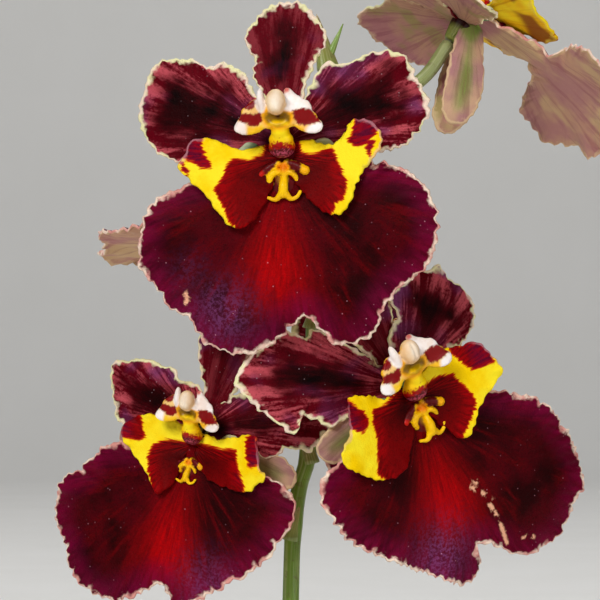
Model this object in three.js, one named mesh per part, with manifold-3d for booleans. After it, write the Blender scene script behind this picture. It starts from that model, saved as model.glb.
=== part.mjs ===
// Potted tolumnia orchid: a clay pot of bark, three full fans of sword leaves with one young fan, and one
// spray of frilled blooms.
// Millimetres, +Z up, the origin is the middle of the pot's underside and -Y is the side the blooms face.
import * as THREE from "three";
import { mergeVertices } from "three/addons/utils/BufferGeometryUtils.js";
import Module from "manifold-3d";

const wasm = await Module();
wasm.setup();

// Driving dimensions
const GAP = 0.3;
const SPACING = 0.35;
const PETAL_THICKNESS = 0.7;

const POT_HEIGHT = 58;
const POT_RADIUS = 32;
const POT_FOOT_RADIUS = 23;
const POT_RIM_HEIGHT = 12;
const POT_FLOOR = 5;
const POT_SIDES = 32;
const MOUTH_RADIUS = 27.6;
const WELL_RADIUS = 19.2;
const DRAIN_RADIUS = 2.2;
const DRAIN_CIRCLE = 11;

const BARK_TOP = 51.5;
const CHIP_COUNT = 24;
const CHIP_SPREAD = 23.5;
const BARK_CROWN = 0.6;
const PIT_DEPTH = 3.6;
const PIT_MARGIN = 8;

const LEAF_WIDTH = 10.5;
const LEAF_THICKNESS = 2.3;
const LEAF_EDGE = 0.45;
const FAN_HEIGHT = 60;
const SHEATH_STEP = 2.1;
const SHEATH_SHIFT = 1.1;
const RHIZOME_RADIUS = 1.8;
const ROOT_RADIUS = 1.1;

const STEM_RADIUS = 1.08;
const PEDICEL_RADIUS = 0.62;
const HUB_RADIUS = 1.5;
const HUB_DEPTH = 2.6;
const STALK_BEND = 4.5;
const STEM_CLEARANCE = 0.9;

// Heights of the flower's layers on its own axis, from its lip's underside
const TEPAL_LAYER = -0.7;
const LIP_LAYER = 0.35;
const EAR_LAYER = 0.65;
const COLUMN_FOOT = 1.5;

const COLOURS = {
  clay: [0xb5623c, 0.85],
  bark: [0x6b4630, 0.95],
  root: [0xb9bfa4, 0.8],
  leaf: [0x4f7a2c, 0.5],
  stem: [0x5c801c, 0.5],
  tepal: [0x3a0510, 0.6],
  lip: [0x8a0714, 0.6],
  column: [0xf2d24a, 0.5],
};

// Outlines in each flower's own plane, seen from the front, with the flower's axis at 0, 0
const TOP_SHAPE = {
  dorsal: [
    [-1, 1], [-2.4, 5], [-3.3, 6.8], [-3.2, 8.2], [-4.2, 10.3], [-3.7, 11.9], [-1.9, 13.7],
    [0.5, 14.2], [2.6, 12.9], [3.9, 10], [2.9, 8.4], [2.2, 6.4], [1.6, 4.2], [1, 1],
  ],
  leftPetal: [
    [-0.8, 1.6], [-2.8, 4.4], [-4.7, 7.2], [-6.5, 8], [-7.8, 7.6], [-9.6, 8.3], [-11.6, 8.5],
    [-13.7, 8], [-14.8, 5.6], [-15.4, 3], [-14.7, 0.9], [-13.3, -0.8], [-10.5, -1.9], [-6.2, -1.4],
    [-1, -0.6],
  ],
  rightPetal: [
    [0.8, 1.6], [2, 4.4], [4, 7.9], [5.5, 7.8], [7.1, 8.3], [8.8, 9.1], [11.5, 8.8],
    [12.8, 6.7], [14.3, 3.3], [13.4, 1.6], [12, -0.1], [9.3, -0.9], [5, -1], [1, -0.6],
  ],
  lip: [
    [-9.3, -4.2], [-11.6, -5.1], [-13.3, -6.2], [-14.4, -9.2], [-14.6, -12.6], [-12.8, -14.6], [-11.6, -16.5],
    [-9.4, -17.7], [-8.4, -19.8], [-6.6, -20.7], [-4.1, -21.2], [-1.5, -20.3], [0.5, -18.5], [2.2, -17.4],
    [3.7, -18.6], [5, -20.1], [7, -20], [8.9, -19.1], [10.1, -16.5], [11.6, -14.5], [14.2, -12.5],
    [15.3, -10], [15.3, -7], [14.1, -4.4], [11.6, -2.6], [8.9, -2.1], [4.5, -1.2], [0, -0.3], [-4.5, -1.8],
  ],
  leftEar: [
    [-0.6, -0.4], [-4.2, -0.9], [-6, -0.2], [-7.8, 0.3], [-9, 0], [-9.6, -1.4], [-10.3, -2.5], [-9.3, -3.6],
    [-7.6, -5.2], [-6.2, -7.1], [-4.6, -8.6], [-3, -8], [-1.8, -6.2], [-0.6, -3],
  ],
  rightEar: [
    [0.6, -0.4], [3.2, 0], [5, -0.5], [6, 0.3], [7.2, 1.9], [8.9, 1.9], [10, 0.6], [9.6, -1.3],
    [8.3, -2.7], [7.5, -4.3], [6.7, -6.4], [5.4, -7.3], [3.8, -6.6], [2, -4.8], [0.6, -3],
  ],
  sepalReach: 8.8,
};

const RIGHT_SHAPE = {
  dorsal: TOP_SHAPE.dorsal,
  leftPetal: [
    [-0.8, 1.6], [-3.6, 5.9], [-5.6, 8.4], [-6.8, 8.9], [-7.5, 8.3], [-8.5, 9.7], [-12.3, 9.3], [-14.6, 8.1],
    [-15.4, 7], [-14.5, 4.3], [-13.1, 1.5], [-12.3, 0.1], [-10.7, 1.5], [-8.7, -0.6], [-7.4, -0.6],
    [-4.9, -0.8], [-1, -0.5],
  ],
  rightPetal: [
    [0.8, 1.6], [0.5, 4.3], [1.2, 5.5], [2.7, 6.4], [2.7, 8.4], [4.5, 8.9], [7.3, 9.2], [8.9, 8.8],
    [10.3, 8.8], [10.3, 7.5], [11.4, 5.7], [11.8, 3.9], [11.3, 2.5], [9.3, 1], [6.2, 0.7], [1.2, -0.2],
  ],
  lip: [
    [-10.2, -3.9], [-12.5, -4.6], [-13.6, -6.4], [-13, -10], [-11.3, -12.8], [-8.8, -15.5], [-5.2, -18.7],
    [-1.5, -21.8], [0.5, -21.2], [1.1, -18.4], [2, -18.7], [5.8, -21.9], [8.3, -22.5], [11.4, -22.1],
    [13.7, -19.8], [15.2, -18.9], [16.2, -15.6], [15.2, -11.3], [13.1, -7.6], [10.3, -5.6], [8.3, -4.4],
    [4.5, -2.2], [0, -0.3], [-4.5, -1.8],
  ],
  leftEar: [
    [-0.6, -0.4], [-3.4, -0.1], [-4.8, 0.9], [-7.2, 1.7], [-8, 0.4], [-8.4, -1.3], [-9.9, -2.3],
    [-10.7, -3.5], [-9.3, -5.5], [-7, -7.2], [-4.8, -7.4], [-3, -6], [-1.6, -4.2], [-0.6, -2.4],
  ],
  rightEar: [
    [0.6, -0.4], [2.4, 0.8], [4.4, 1.7], [6.6, 1.3], [8.2, 1], [9.1, -0.4], [9.7, -2.8], [8.4, -3.7],
    [5.9, -5.2], [4.4, -6.9], [3, -7.3], [1.8, -5.6], [0.6, -3],
  ],
  sepalReach: 10.6,
};

const LEFT_SHAPE = {
  dorsal: [
    [-1, 1], [-1, 3.9], [-2.5, 6.9], [-3.1, 8.8], [-2.8, 10.9], [-0.8, 12.3], [1.6, 11.6],
    [3.2, 9.1], [2.8, 5.9], [1, 1],
  ],
  leftPetal: [
    [-0.8, 1.6], [-1.5, 4], [-3.8, 4.4], [-5, 5.2], [-6.7, 5.3], [-9.3, 5.4], [-11.5, 4.6], [-13.3, 4.2],
    [-12.9, 1.8], [-11.7, -0.2], [-10.6, -1.6], [-5.3, -1.4], [-1, -0.5],
  ],
  rightPetal: [
    [0.6, 1.6], [3.2, 4.4], [8.6, 5.1], [12.7, 4.7], [13.1, 2.8], [12.3, 1.1], [11.3, 0.2], [9.5, 0.3],
    [7.8, -1.2], [5.5, -1], [1, -0.6],
  ],
  lip: [
    [-6.4, -3], [-8.8, -3.4], [-10.9, -4.7], [-12.7, -7.2], [-14.5, -8.6], [-15.2, -10.6], [-15.2, -13],
    [-13.2, -15.8], [-12.6, -17.4], [-9.6, -19.6], [-6.3, -19.7], [-3, -18], [-1.1, -16.5], [-0.2, -17.6],
    [1.2, -18.6], [3.7, -17], [8.1, -13.6], [10.9, -10.7], [12, -8.4], [12.9, -6.4], [11.8, -4], [9, -2.8],
    [4.5, -1.3], [0, -0.3], [-3.5, -1.4],
  ],
  leftEar: [
    [-0.6, -0.4], [-4.1, 0.4], [-6, 0.2], [-7.8, -1.2], [-7.8, -2.3], [-6.9, -3.3], [-4.9, -4.8],
    [-3.7, -6.2], [-2.4, -7.2], [-1.4, -6.2], [-0.6, -3],
  ],
  rightEar: [
    [0.6, -0.4], [2.8, -0.4], [5.5, 0.5], [7.2, 1], [8, -0.4], [8.5, -2.1], [9.7, -2.7], [8.6, -3.7],
    [7.8, -4.6], [5.6, -4.8], [2.6, -4.4], [0.6, -2.6],
  ],
  sepalReach: 10.6,
};

// The bloom seen from behind shows the narrow neck of its lip and lateral sepals that hang back
const HIGH_SHAPE = {
  ...TOP_SHAPE,
  lip: [
    [-2.6, -1.6], [-3, -5], [-2.8, -8], [-5, -9.6], [-9.5, -10.2], [-13, -12], [-13.6, -15], [-11, -18],
    [-7, -20.4], [-3, -20.6], [0, -18.6], [3, -20.4], [7.5, -20], [11.5, -17.8], [14, -14.6], [13.5, -11.6],
    [9.5, -10], [5, -9.4], [2.8, -7.8], [3, -5], [2.6, -1.6], [0, -0.3],
  ],
  sepalReach: 12,
  sepalDroop: 76,
  sepalTilt: -10,
};

function resized(shape, factor) {
  const entries = Object.entries(shape).map(([part, value]) => {
    const scaled = Array.isArray(value) ? value.map(([x, y]) => [x * factor, y * factor]) : value * factor;
    return [part, scaled];
  });
  return Object.fromEntries(entries);
}

const SMALL_SHAPE = resized(TOP_SHAPE, 0.75);

// Each bloom: the middle of its face, its yaw, pitch and roll, and the height where its stalk leaves the stem
const BLOOMS = [
  { name: "top_bloom", shape: TOP_SHAPE, centre: [-1.6, -14, 235.8], turns: [-8, 0, 0], node: 226 },
  { name: "right_bloom", shape: RIGHT_SHAPE, centre: [10.6, -8, 211.4], turns: [27, 0, 24], node: 205 },
  { name: "left_bloom", shape: LEFT_SHAPE, centre: [-10.3, -0.5, 206.6], turns: [-27, 0, -12], node: 197 },
  { name: "high_bloom", shape: HIGH_SHAPE, centre: [17.6, 5.6, 249.6], turns: [116, 51, -18], node: 236 },
  { name: "far_left_bloom", shape: SMALL_SHAPE, centre: [-7.4, 15, 225.8], turns: [-182, 75, 43], node: 219 },
  { name: "far_right_bloom", shape: SMALL_SHAPE, centre: [10.2, 12.2, 214], turns: [35, 0, 0], node: 222,
    via: [[5.5, 8.3, 224], [5, 15, 221]] },
];

const STEM_ROUTE = [
  [1.2, 5.2, 44], [1.5, 5, 80], [0.6, 4.2, 130], [-0.6, 3.2, 170], [-0.94, 3, 190.2], [-0.63, 3, 196.5],
  [0, 3, 200.8], [0.73, 3, 203.3], [1.46, 3, 217.8], [2.61, 3, 244.4], [3.34, 3, 246.1], [4.5, 3, 248.8],
];

// Each fan: its foot on the bark, the heading of its flat side, and its lean away from the stem
const FANS = [
  { name: "front_fan", foot: [-2, -12], heading: -31, lean: [-4, -13], leaves: [50, 62, 62, 56] },
  { name: "east_fan", foot: [12.5, 3.5], heading: 80, lean: [13, 7], leaves: [52, 64, 70, 49] },
  { name: "young_fan", foot: [5, 15], heading: 36, lean: [5, 9], leaves: [26, 34] },
  { name: "back_fan", foot: [-9, 11.5], heading: -150, lean: [-6, 12], leaves: [48, 60, 66, 54] },
];

const ROOT_ROUTES = [
  [[-2, -12, 44.5], [-10, -16, 44.8], [-15, -17.6, 49], [-16.8, -18.2, 56.5], [-20, -20.8, 61.2],
    [-24, -24, 60.4], [-25.6, -25.8, 56], [-25.8, -26.2, 48], [-27, -27.6, 39]],
  [[12.5, 3.5, 44.5], [17.5, -8, 44.8], [20.4, -11.6, 50], [21.6, -12.4, 56.5], [25.8, -14.8, 61.4],
    [30.2, -17.2, 60.2], [32, -18.4, 55], [31.6, -18.6, 46]],
  [[-9, 11.5, 44.5], [-17.6, 3, 45], [-21, -2, 50.8], [-21.4, -7, 54], [-19.6, -12, 54.6]],
];

// Seeded draw, so that the bark is the same each time
let seed = 20;
function draw(low, high) {
  seed = (seed * 1664525 + 1013904223) % 4294967296;
  return low + ((high - low) * seed) / 4294967296;
}

function radians(degrees) {
  return THREE.MathUtils.degToRad(degrees);
}

function vector([x, y, z]) {
  return new THREE.Vector3(x, y, z);
}

// Closed meshes and booleans
function closedGeometry(points, triangles) {
  const edgeA = new THREE.Vector3();
  const edgeB = new THREE.Vector3();
  let volume = 0;
  for (const [a, b, c] of triangles) {
    edgeA.copy(points[b]);
    edgeB.copy(points[c]);
    volume += points[a].dot(edgeA.cross(edgeB));
  }
  const ordered = volume < 0 ? triangles.map(([a, b, c]) => [a, c, b]) : triangles;
  const geometry = new THREE.BufferGeometry();
  geometry.setAttribute("position", new THREE.Float32BufferAttribute(points.flatMap((p) => p.toArray()), 3));
  geometry.setIndex(ordered.flat());
  return geometry;
}

function toSolid(geometry) {
  const bare = geometry.clone();
  bare.deleteAttribute("normal");
  bare.deleteAttribute("uv");
  const merged = mergeVertices(bare);
  const vertProperties = new Float32Array(merged.attributes.position.array);
  const triVerts = new Uint32Array(merged.index.array);
  return new wasm.Manifold(new wasm.Mesh({ numProp: 3, vertProperties, triVerts }));
}

function toGeometry(solid) {
  const mesh = solid.getMesh();
  const geometry = new THREE.BufferGeometry();
  geometry.setAttribute("position", new THREE.BufferAttribute(new Float32Array(mesh.vertProperties), 3));
  geometry.setIndex(new THREE.BufferAttribute(new Uint32Array(mesh.triVerts), 1));
  return geometry;
}

function joined(solids) {
  return solids.reduce((whole, solid) => whole.add(solid));
}

function largestBody(solid) {
  const bodies = solid.decompose();
  return bodies.reduce((best, body) => (body.volume() > best.volume() ? body : best));
}

function piece(name, solid, look) {
  const [color, roughness] = COLOURS[look];
  const material = new THREE.MeshStandardMaterial({ color, roughness, metalness: 0, flatShading: true });
  const mesh = new THREE.Mesh(toGeometry(solid), material);
  mesh.name = name;
  return mesh;
}

// Skin over a row of rings with the same number of points, closed at both ends
function loft(rings) {
  const count = rings[0].length;
  const points = rings.flat();
  const triangles = [];
  for (let ring = 0; ring + 1 < rings.length; ring += 1) {
    for (let side = 0; side < count; side += 1) {
      const a = ring * count + side;
      const b = ring * count + ((side + 1) % count);
      triangles.push([a, b, b + count], [a, b + count, a + count]);
    }
  }
  const last = (rings.length - 1) * count;
  for (let side = 1; side + 1 < count; side += 1) {
    triangles.push([0, side + 1, side], [last, last + side, last + side + 1]);
  }
  return toSolid(closedGeometry(points, triangles));
}

// Round tube along a smooth route, its radius given along the way from 0 to 1, its ends pushed out by extend
function tube(route, radiusAt, sides, steps, extend = 0) {
  const curve = new THREE.CatmullRomCurve3(route.map(vector), false, "centripetal");
  const frames = curve.computeFrenetFrames(steps, false);
  const rings = [];
  for (let step = 0; step <= steps; step += 1) {
    const along = step / steps;
    const middle = curve.getPointAt(along);
    const push = ((step === steps) - (step === 0)) * extend;
    const ring = [];
    for (let side = 0; side < sides; side += 1) {
      const angle = (side / sides) * 2 * Math.PI;
      const radius = radiusAt(along);
      const point = middle.clone().addScaledVector(frames.normals[step], radius * Math.cos(angle));
      point.addScaledVector(frames.binormals[step], radius * Math.sin(angle));
      ring.push(point.addScaledVector(frames.tangents[step], push));
    }
    rings.push(ring);
  }
  return loft(rings);
}

// Thin petal: an outline filled from its middle, lifted to a height, alike on both faces, then turned
function blade(outline, samples, heightAt, reaches = [1], turn = new THREE.Matrix4()) {
  const flat = outline.map(([x, y]) => new THREE.Vector3(x, y, 0));
  const curve = new THREE.CatmullRomCurve3(flat, true, "centripetal");
  const rim = curve.getSpacedPoints(samples).slice(0, samples);
  const middle = rim.reduce((sum, p) => sum.add(p), new THREE.Vector3()).divideScalar(samples);
  const points = [];
  const triangles = [];
  for (const side of [-1, 1]) {
    const lift = (side * PETAL_THICKNESS) / 2;
    const start = points.length;
    points.push(new THREE.Vector3(middle.x, middle.y, heightAt(middle.x, middle.y, 0) + lift));
    for (const reach of reaches) {
      for (const edge of rim) {
        const x = middle.x + (edge.x - middle.x) * reach;
        const y = middle.y + (edge.y - middle.y) * reach;
        points.push(new THREE.Vector3(x, y, heightAt(x, y, reach) + lift));
      }
    }
    const faces = [];
    for (let k = 0; k < samples; k += 1) {
      const next = (k + 1) % samples;
      faces.push([start, start + 1 + k, start + 1 + next]);
      for (let ring = 1; ring < reaches.length; ring += 1) {
        const outer = start + 1 + ring * samples;
        const inner = outer - samples;
        faces.push([inner + k, outer + k, outer + next], [inner + k, outer + next, inner + next]);
      }
    }
    triangles.push(...faces.map(([a, b, c]) => (side > 0 ? [a, b, c] : [a, c, b])));
  }
  const rimStart = 1 + samples * (reaches.length - 1);
  const upper = points.length / 2;
  for (let k = 0; k < samples; k += 1) {
    const a = rimStart + k;
    const b = rimStart + ((k + 1) % samples);
    triangles.push([a, b, b + upper], [a, b + upper, a + upper]);
  }
  return toSolid(closedGeometry(points.map((point) => point.applyMatrix4(turn)), triangles));
}

// Pot and bark
function pot() {
  const rimFoot = POT_HEIGHT - POT_RIM_HEIGHT;
  const profile = [
    [0, 0], [POT_FOOT_RADIUS - 1, 0], [POT_FOOT_RADIUS, 1], [POT_RADIUS - 2.8, rimFoot - 1],
    [POT_RADIUS - 0.8, rimFoot], [POT_RADIUS, POT_HEIGHT - 1.2], [POT_RADIUS - 1, POT_HEIGHT],
    [MOUTH_RADIUS, POT_HEIGHT], [WELL_RADIUS, POT_FLOOR], [0, POT_FLOOR],
  ];
  let body = turned(profile);
  for (const quarter of [45, 135, 225, 315]) {
    const drain = new THREE.CylinderGeometry(DRAIN_RADIUS, DRAIN_RADIUS, POT_FLOOR * 3, 10);
    drain.rotateX(Math.PI / 2);
    drain.translate(DRAIN_CIRCLE * Math.cos(radians(quarter)), DRAIN_CIRCLE * Math.sin(radians(quarter)), 0);
    body = body.subtract(toSolid(drain));
  }
  return body;
}

function turned(profile) {
  const points = profile.map(([radius, height]) => new THREE.Vector2(radius, height));
  const geometry = new THREE.LatheGeometry(points, POT_SIDES).rotateX(Math.PI / 2);
  const solid = toSolid(geometry);
  if (solid.volume() > 0) return solid;
  const flipped = geometry.index.array.slice().reverse();
  geometry.setIndex(new THREE.BufferAttribute(flipped, 1));
  return toSolid(geometry);
}

function wellRadius(height) {
  const slope = (MOUTH_RADIUS - WELL_RADIUS) / (POT_HEIGHT - POT_FLOOR);
  return WELL_RADIUS + (height - POT_FLOOR) * slope - GAP;
}

function barkFill(cuts) {
  const foot = POT_FLOOR + GAP;
  const base = [[0, foot], [wellRadius(foot), foot]];
  let body = turned([...base, [wellRadius(BARK_TOP), BARK_TOP], [0, BARK_TOP + BARK_CROWN]]);
  const goldenAngle = Math.PI * (3 - Math.sqrt(5));
  for (let chip = 0; chip < CHIP_COUNT; chip += 1) {
    const reach = CHIP_SPREAD * Math.sqrt((chip + 0.5) / CHIP_COUNT);
    const angle = chip * goldenAngle;
    const shape = new THREE.BoxGeometry(draw(4, 8), draw(3, 5), draw(2, 3.2));
    shape.rotateX(draw(-0.35, 0.35)).rotateY(draw(-0.35, 0.35)).rotateZ(draw(0, Math.PI));
    shape.translate(reach * Math.cos(angle), reach * Math.sin(angle), BARK_TOP + draw(0, 1));
    body = body.add(toSolid(shape));
  }
  body = body.intersect(turned([...base, [wellRadius(POT_HEIGHT), POT_HEIGHT], [0, POT_HEIGHT]]));
  for (const cut of cuts) body = body.subtract(cut);
  return largestBody(body);
}

// Leaves: a folded sword, keel outward, that clasps the younger leaves inside it
function swordLeaf(fan, rank, grow) {
  const side = rank % 2 === 0 ? 1 : -1;
  const length = fan.leaves[rank];
  const sheath = SHEATH_STEP * (rank + 1);
  const steps = 9;
  const heading = radians(fan.heading);
  const outward = new THREE.Vector3(Math.cos(heading) * side, Math.sin(heading) * side, 0);
  const leanAngle = new THREE.Vector3(fan.lean[0], fan.lean[1], FAN_HEIGHT).normalize();
  const upward = leanAngle.clone().addScaledVector(outward, -leanAngle.dot(outward)).normalize();
  const flatSide = new THREE.Vector3().crossVectors(upward, outward);
  const middle = new THREE.Vector3(fan.foot[0], fan.foot[1], BARK_TOP - PIT_DEPTH + GAP);
  middle.addScaledVector(outward, SHEATH_SHIFT * rank);
  const rings = [];
  for (let step = 0; step <= steps; step += 1) {
    const along = step / steps;
    const turn = radians(2 + 2 * rank + (12 + 15 * rank) * along);
    const tangent = upward.clone().multiplyScalar(Math.cos(turn)).addScaledVector(outward, Math.sin(turn));
    const across = outward.clone().multiplyScalar(Math.cos(turn)).addScaledVector(upward, -Math.sin(turn));
    if (step > 0) middle.addScaledVector(tangent, length / steps);
    const swell = 0.56 + 0.44 * Math.min(1, along * 2.5);
    const taper = Math.pow(1 - Math.pow(along, 3.2), 0.8);
    const halfWidth = (LEAF_WIDTH / 2) * swell * taper + LEAF_EDGE + grow;
    const blend = THREE.MathUtils.smoothstep(along * length, 12, 34);
    const thickness = THREE.MathUtils.lerp(sheath, LEAF_THICKNESS, blend) * (1 - 0.5 * along * along);
    const halfThick = thickness / 2 + grow;
    const groove = 0.5 * halfWidth * (1 - along);
    const section = [
      [halfWidth, 0], [0.35 * halfWidth, 0.8 * halfThick], [-halfWidth, halfThick],
      [-halfWidth, -halfThick], [0.35 * halfWidth, -0.8 * halfThick],
    ];
    if (grow === 0) section.splice(3, 0, [groove - halfWidth, 0]);
    const corner = ([u, v]) => middle.clone().addScaledVector(across, u).addScaledVector(flatSide, v);
    rings.push(section.map(corner));
  }
  rings[0] = rings[0].map((point, index) => {
    const foot = point.clone().setZ(BARK_TOP - PIT_DEPTH + GAP);
    return grow > 0 ? foot.lerp(rings[1][index], -0.3) : foot;
  });
  return loft(rings);
}

function fanLeaves(fan) {
  const leaves = [];
  let inner = null;
  for (let rank = 0; rank < fan.leaves.length; rank += 1) {
    const whole = swordLeaf(fan, rank, 0);
    leaves.push(inner === null ? whole : largestBody(whole.subtract(inner)));
    const spaced = swordLeaf(fan, rank, SPACING);
    inner = inner === null ? spaced : inner.add(spaced);
  }
  return leaves;
}

function fanPit(fan) {
  const ranks = fan.leaves.length;
  const pit = new THREE.CylinderGeometry(1, 1, PIT_DEPTH + PIT_MARGIN, 10).rotateX(Math.PI / 2);
  pit.scale(6.8 + SHEATH_SHIFT * ranks, 3.4 + (SHEATH_STEP * ranks) / 2, 1);
  pit.rotateZ(radians(fan.heading));
  pit.translate(fan.foot[0], fan.foot[1], BARK_TOP + (PIT_MARGIN - PIT_DEPTH) / 2);
  return toSolid(pit);
}

// Rhizome under the fans, with roots that creep over the bark and the rim
function rhizomeRoots(grow) {
  const height = BARK_TOP - PIT_DEPTH - RHIZOME_RADIUS - 1;
  const route = FANS.map((fan) => [fan.foot[0], fan.foot[1], height]);
  const parts = [tube(route, () => RHIZOME_RADIUS + grow, 7, 9, grow)];
  for (const root of ROOT_ROUTES) {
    parts.push(tube(root, (along) => ROOT_RADIUS * (1 - 0.3 * along) + grow, 5, 12, grow));
  }
  return joined(parts);
}

// Flower stem with its stalks and bracts
const stemCurve = new THREE.CatmullRomCurve3(STEM_ROUTE.map(vector), false, "centripetal");

function stemPointAt(height) {
  let low = 0;
  let high = 1;
  for (let pass = 0; pass < 30; pass += 1) {
    const middle = (low + high) / 2;
    if (stemCurve.getPoint(middle).z < height) low = middle;
    else high = middle;
  }
  return stemCurve.getPoint(low);
}

function bloomFrame(bloom) {
  const [yaw, pitch, roll] = bloom.turns.map(radians);
  const level = new THREE.Vector3(Math.sin(yaw), -Math.cos(yaw), 0);
  const right = new THREE.Vector3(Math.cos(yaw), Math.sin(yaw), 0);
  const face = level.clone().multiplyScalar(Math.cos(pitch)).setZ(Math.sin(pitch));
  const rise = level.clone().multiplyScalar(-Math.sin(pitch)).setZ(Math.cos(pitch));
  const x = right.clone().multiplyScalar(Math.cos(roll)).addScaledVector(rise, Math.sin(roll));
  const y = right.clone().multiplyScalar(-Math.sin(roll)).addScaledVector(rise, Math.cos(roll));
  return { x, y, face };
}

function stalk(bloom) {
  const { face } = bloomFrame(bloom);
  const back = vector(bloom.centre).addScaledVector(face, TEPAL_LAYER - HUB_DEPTH - GAP);
  const start = stemPointAt(bloom.node);
  const behind = back.clone().addScaledVector(face, -STALK_BEND);
  const between = bloom.via ?? [start.clone().lerp(behind, 0.5).toArray()];
  const route = [start.toArray(), ...between, behind.toArray(), back.toArray()];
  return tube(route, (along) => PEDICEL_RADIUS + 0.12 * along, 5, bloom.via ? 9 : 5);
}

function bract(height, reach, turn) {
  const foot = stemPointAt(height);
  const shape = new THREE.ConeGeometry(reach * 0.28, reach, 5);
  shape.scale(1, 1, 0.6);
  shape.rotateX(Math.PI / 2);
  shape.translate(0, 0, reach / 2 - 1);
  shape.rotateX(radians(14));
  shape.rotateZ(radians(turn));
  shape.translate(foot.x, foot.y, foot.z);
  return toSolid(shape);
}

function flowerStem() {
  const parts = [tube(STEM_ROUTE, (along) => STEM_RADIUS * (1.1 - 0.42 * along), 7, 20)];
  for (const bloom of BLOOMS) {
    parts.push(stalk(bloom), bract(bloom.node - 1, 5.5, bloom.centre[0] > 0 ? -70 : 70));
  }
  parts.push(bract(105, 9, 120), bract(150, 8, -60), bract(245, 6, -120));
  return joined(parts);
}

// One bloom in its own frame: X to the right, Y up and Z out of its face
function reflexed(x, y, reach) {
  const out = Math.hypot(x, y);
  const wave = 0.3 * reach ** 3 * Math.sin(6 * Math.atan2(y, x));
  return TEPAL_LAYER - 0.02 * out - 0.011 * out * out + wave;
}

function lipHeight(x, y, reach) {
  const out = Math.hypot(x, y);
  const wave = 0.35 * reach ** 3 * Math.sin(9 * Math.atan2(y + 11, x));
  return LIP_LAYER + 0.16 * out - 0.0095 * out * out + wave;
}

function earHeight(x, y) {
  return EAR_LAYER + 0.17 * Math.hypot(x, y);
}

function sideSepal({ sepalReach: reach, sepalDroop: droop = 0, sepalTilt: tilt = 0 }, side) {
  const outline = [
    [-0.4, 0.6], [-2.2, 0.4], [-0.42 * reach, 0.1], [-0.68 * reach, -0.6], [-0.9 * reach, -1.4],
    [-reach, -2.6], [-0.93 * reach, -4.2], [-0.66 * reach, -4.6], [-0.34 * reach, -3.2], [-0.4, -1.2],
  ];
  const sided = outline.map(([x, y]) => [-side * x, y]);
  if (droop === 0) return blade(sided, 10, (x, y) => reflexed(x, y, 0) - 0.35);
  const turn = new THREE.Matrix4().makeRotationX(radians(tilt));
  turn.multiply(new THREE.Matrix4().makeRotationY(radians(side * droop)));
  return blade(sided, 10, (x, y) => 0.6 - 0.01 * (x * x + y * y), [1], turn);
}

function tepals(shape) {
  const hub = new THREE.CylinderGeometry(HUB_RADIUS, HUB_RADIUS * 0.6, HUB_DEPTH, 8).rotateX(Math.PI / 2);
  hub.translate(0, 0, TEPAL_LAYER - HUB_DEPTH / 2);
  return joined([
    toSolid(hub),
    blade(shape.dorsal, 16, (x, y) => reflexed(x, y, 0) - 0.2),
    blade(shape.leftPetal, 20, reflexed, [0.6, 1]),
    blade(shape.rightPetal, 20, reflexed, [0.6, 1]),
    sideSepal(shape, 1),
    sideSepal(shape, -1),
  ]);
}

function callus() {
  const ridge = tube([[0, -1.9, 1], [0, -3.4, 1.7], [0, -5.3, 1.9]], () => 0.5, 4, 2);
  const lowerArm = tube([[-1.6, -5.6, 1.4], [0, -5.1, 1.9], [1.7, -5.3, 1.4]], () => 0.42, 4, 2);
  const upperArm = tube([[-1.5, -4.3, 1.4], [0, -3.5, 1.7], [1.4, -3.9, 1.4]], () => 0.4, 4, 2);
  return joined([ridge, lowerArm, upperArm]);
}

function lip(shape) {
  const disc = blade(shape.lip, 32, lipHeight, [0.62, 1]);
  return joined([disc, blade(shape.leftEar, 13, earHeight), blade(shape.rightEar, 13, earHeight), callus()]);
}

function column() {
  const body = tube([[0, 0, COLUMN_FOOT], [0, 0.8, 2.6], [0, 2.4, 4]], (along) => 1.05 + 0.5 * along, 6, 2);
  const cap = new THREE.SphereGeometry(1, 6, 4).scale(1, 1.35, 1.1).translate(-0.1, 3.4, 4.4);
  const wings = blade([
    [-0.1, 4.4], [-1.4, 4.8], [-2.5, 3.9], [-3.8, 2.8], [-4.5, 1.4], [-3.2, 0.7], [-1.2, 1],
    [1.2, 0.9], [2.8, 0.8], [4.2, 1.5], [3.6, 2.7], [2.4, 3.9], [1.2, 4.7],
  ], 12, (x) => 3.2 + 0.12 * Math.abs(x));
  return joined([body, toSolid(cap), wings]);
}

function bloomGroup(bloom) {
  const { x, y, face } = bloomFrame(bloom);
  const group = new THREE.Group();
  group.position.copy(vector(bloom.centre));
  group.quaternion.setFromRotationMatrix(new THREE.Matrix4().makeBasis(x, y, face));
  group.add(piece(`${bloom.name}_tepals`, tepals(bloom.shape), "tepal"));
  group.add(piece(`${bloom.name}_lip`, lip(bloom.shape), "lip"));
  group.add(piece(`${bloom.name}_column`, column(), "column"));
  return group;
}

// Assembly
const group = new THREE.Group();
const holeRadius = STEM_RADIUS + STEM_CLEARANCE;
const stemHole = new THREE.CylinderGeometry(holeRadius, holeRadius, POT_HEIGHT / 2, 10).rotateX(Math.PI / 2);
stemHole.translate(STEM_ROUTE[0][0], STEM_ROUTE[0][1], STEM_ROUTE[0][2] - GAP + POT_HEIGHT / 4);

group.add(piece("pot", pot(), "clay"));
const barkCuts = [toSolid(stemHole), rhizomeRoots(SPACING), ...FANS.map(fanPit)];
group.add(piece("bark", barkFill(barkCuts), "bark"));
group.add(piece("rhizome_roots", rhizomeRoots(0), "root"));
for (const fan of FANS) {
  fanLeaves(fan).forEach((leaf, rank) => group.add(piece(`${fan.name}_leaf_${rank + 1}`, leaf, "leaf")));
}
group.add(piece("flower_stem", flowerStem(), "stem"));
for (const bloom of BLOOMS) group.add(bloomGroup(bloom));

export default group;
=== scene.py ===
import functools
import math

import bmesh
import bpy
import numpy as np
from mathutils import Matrix, Vector, noise


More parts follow.
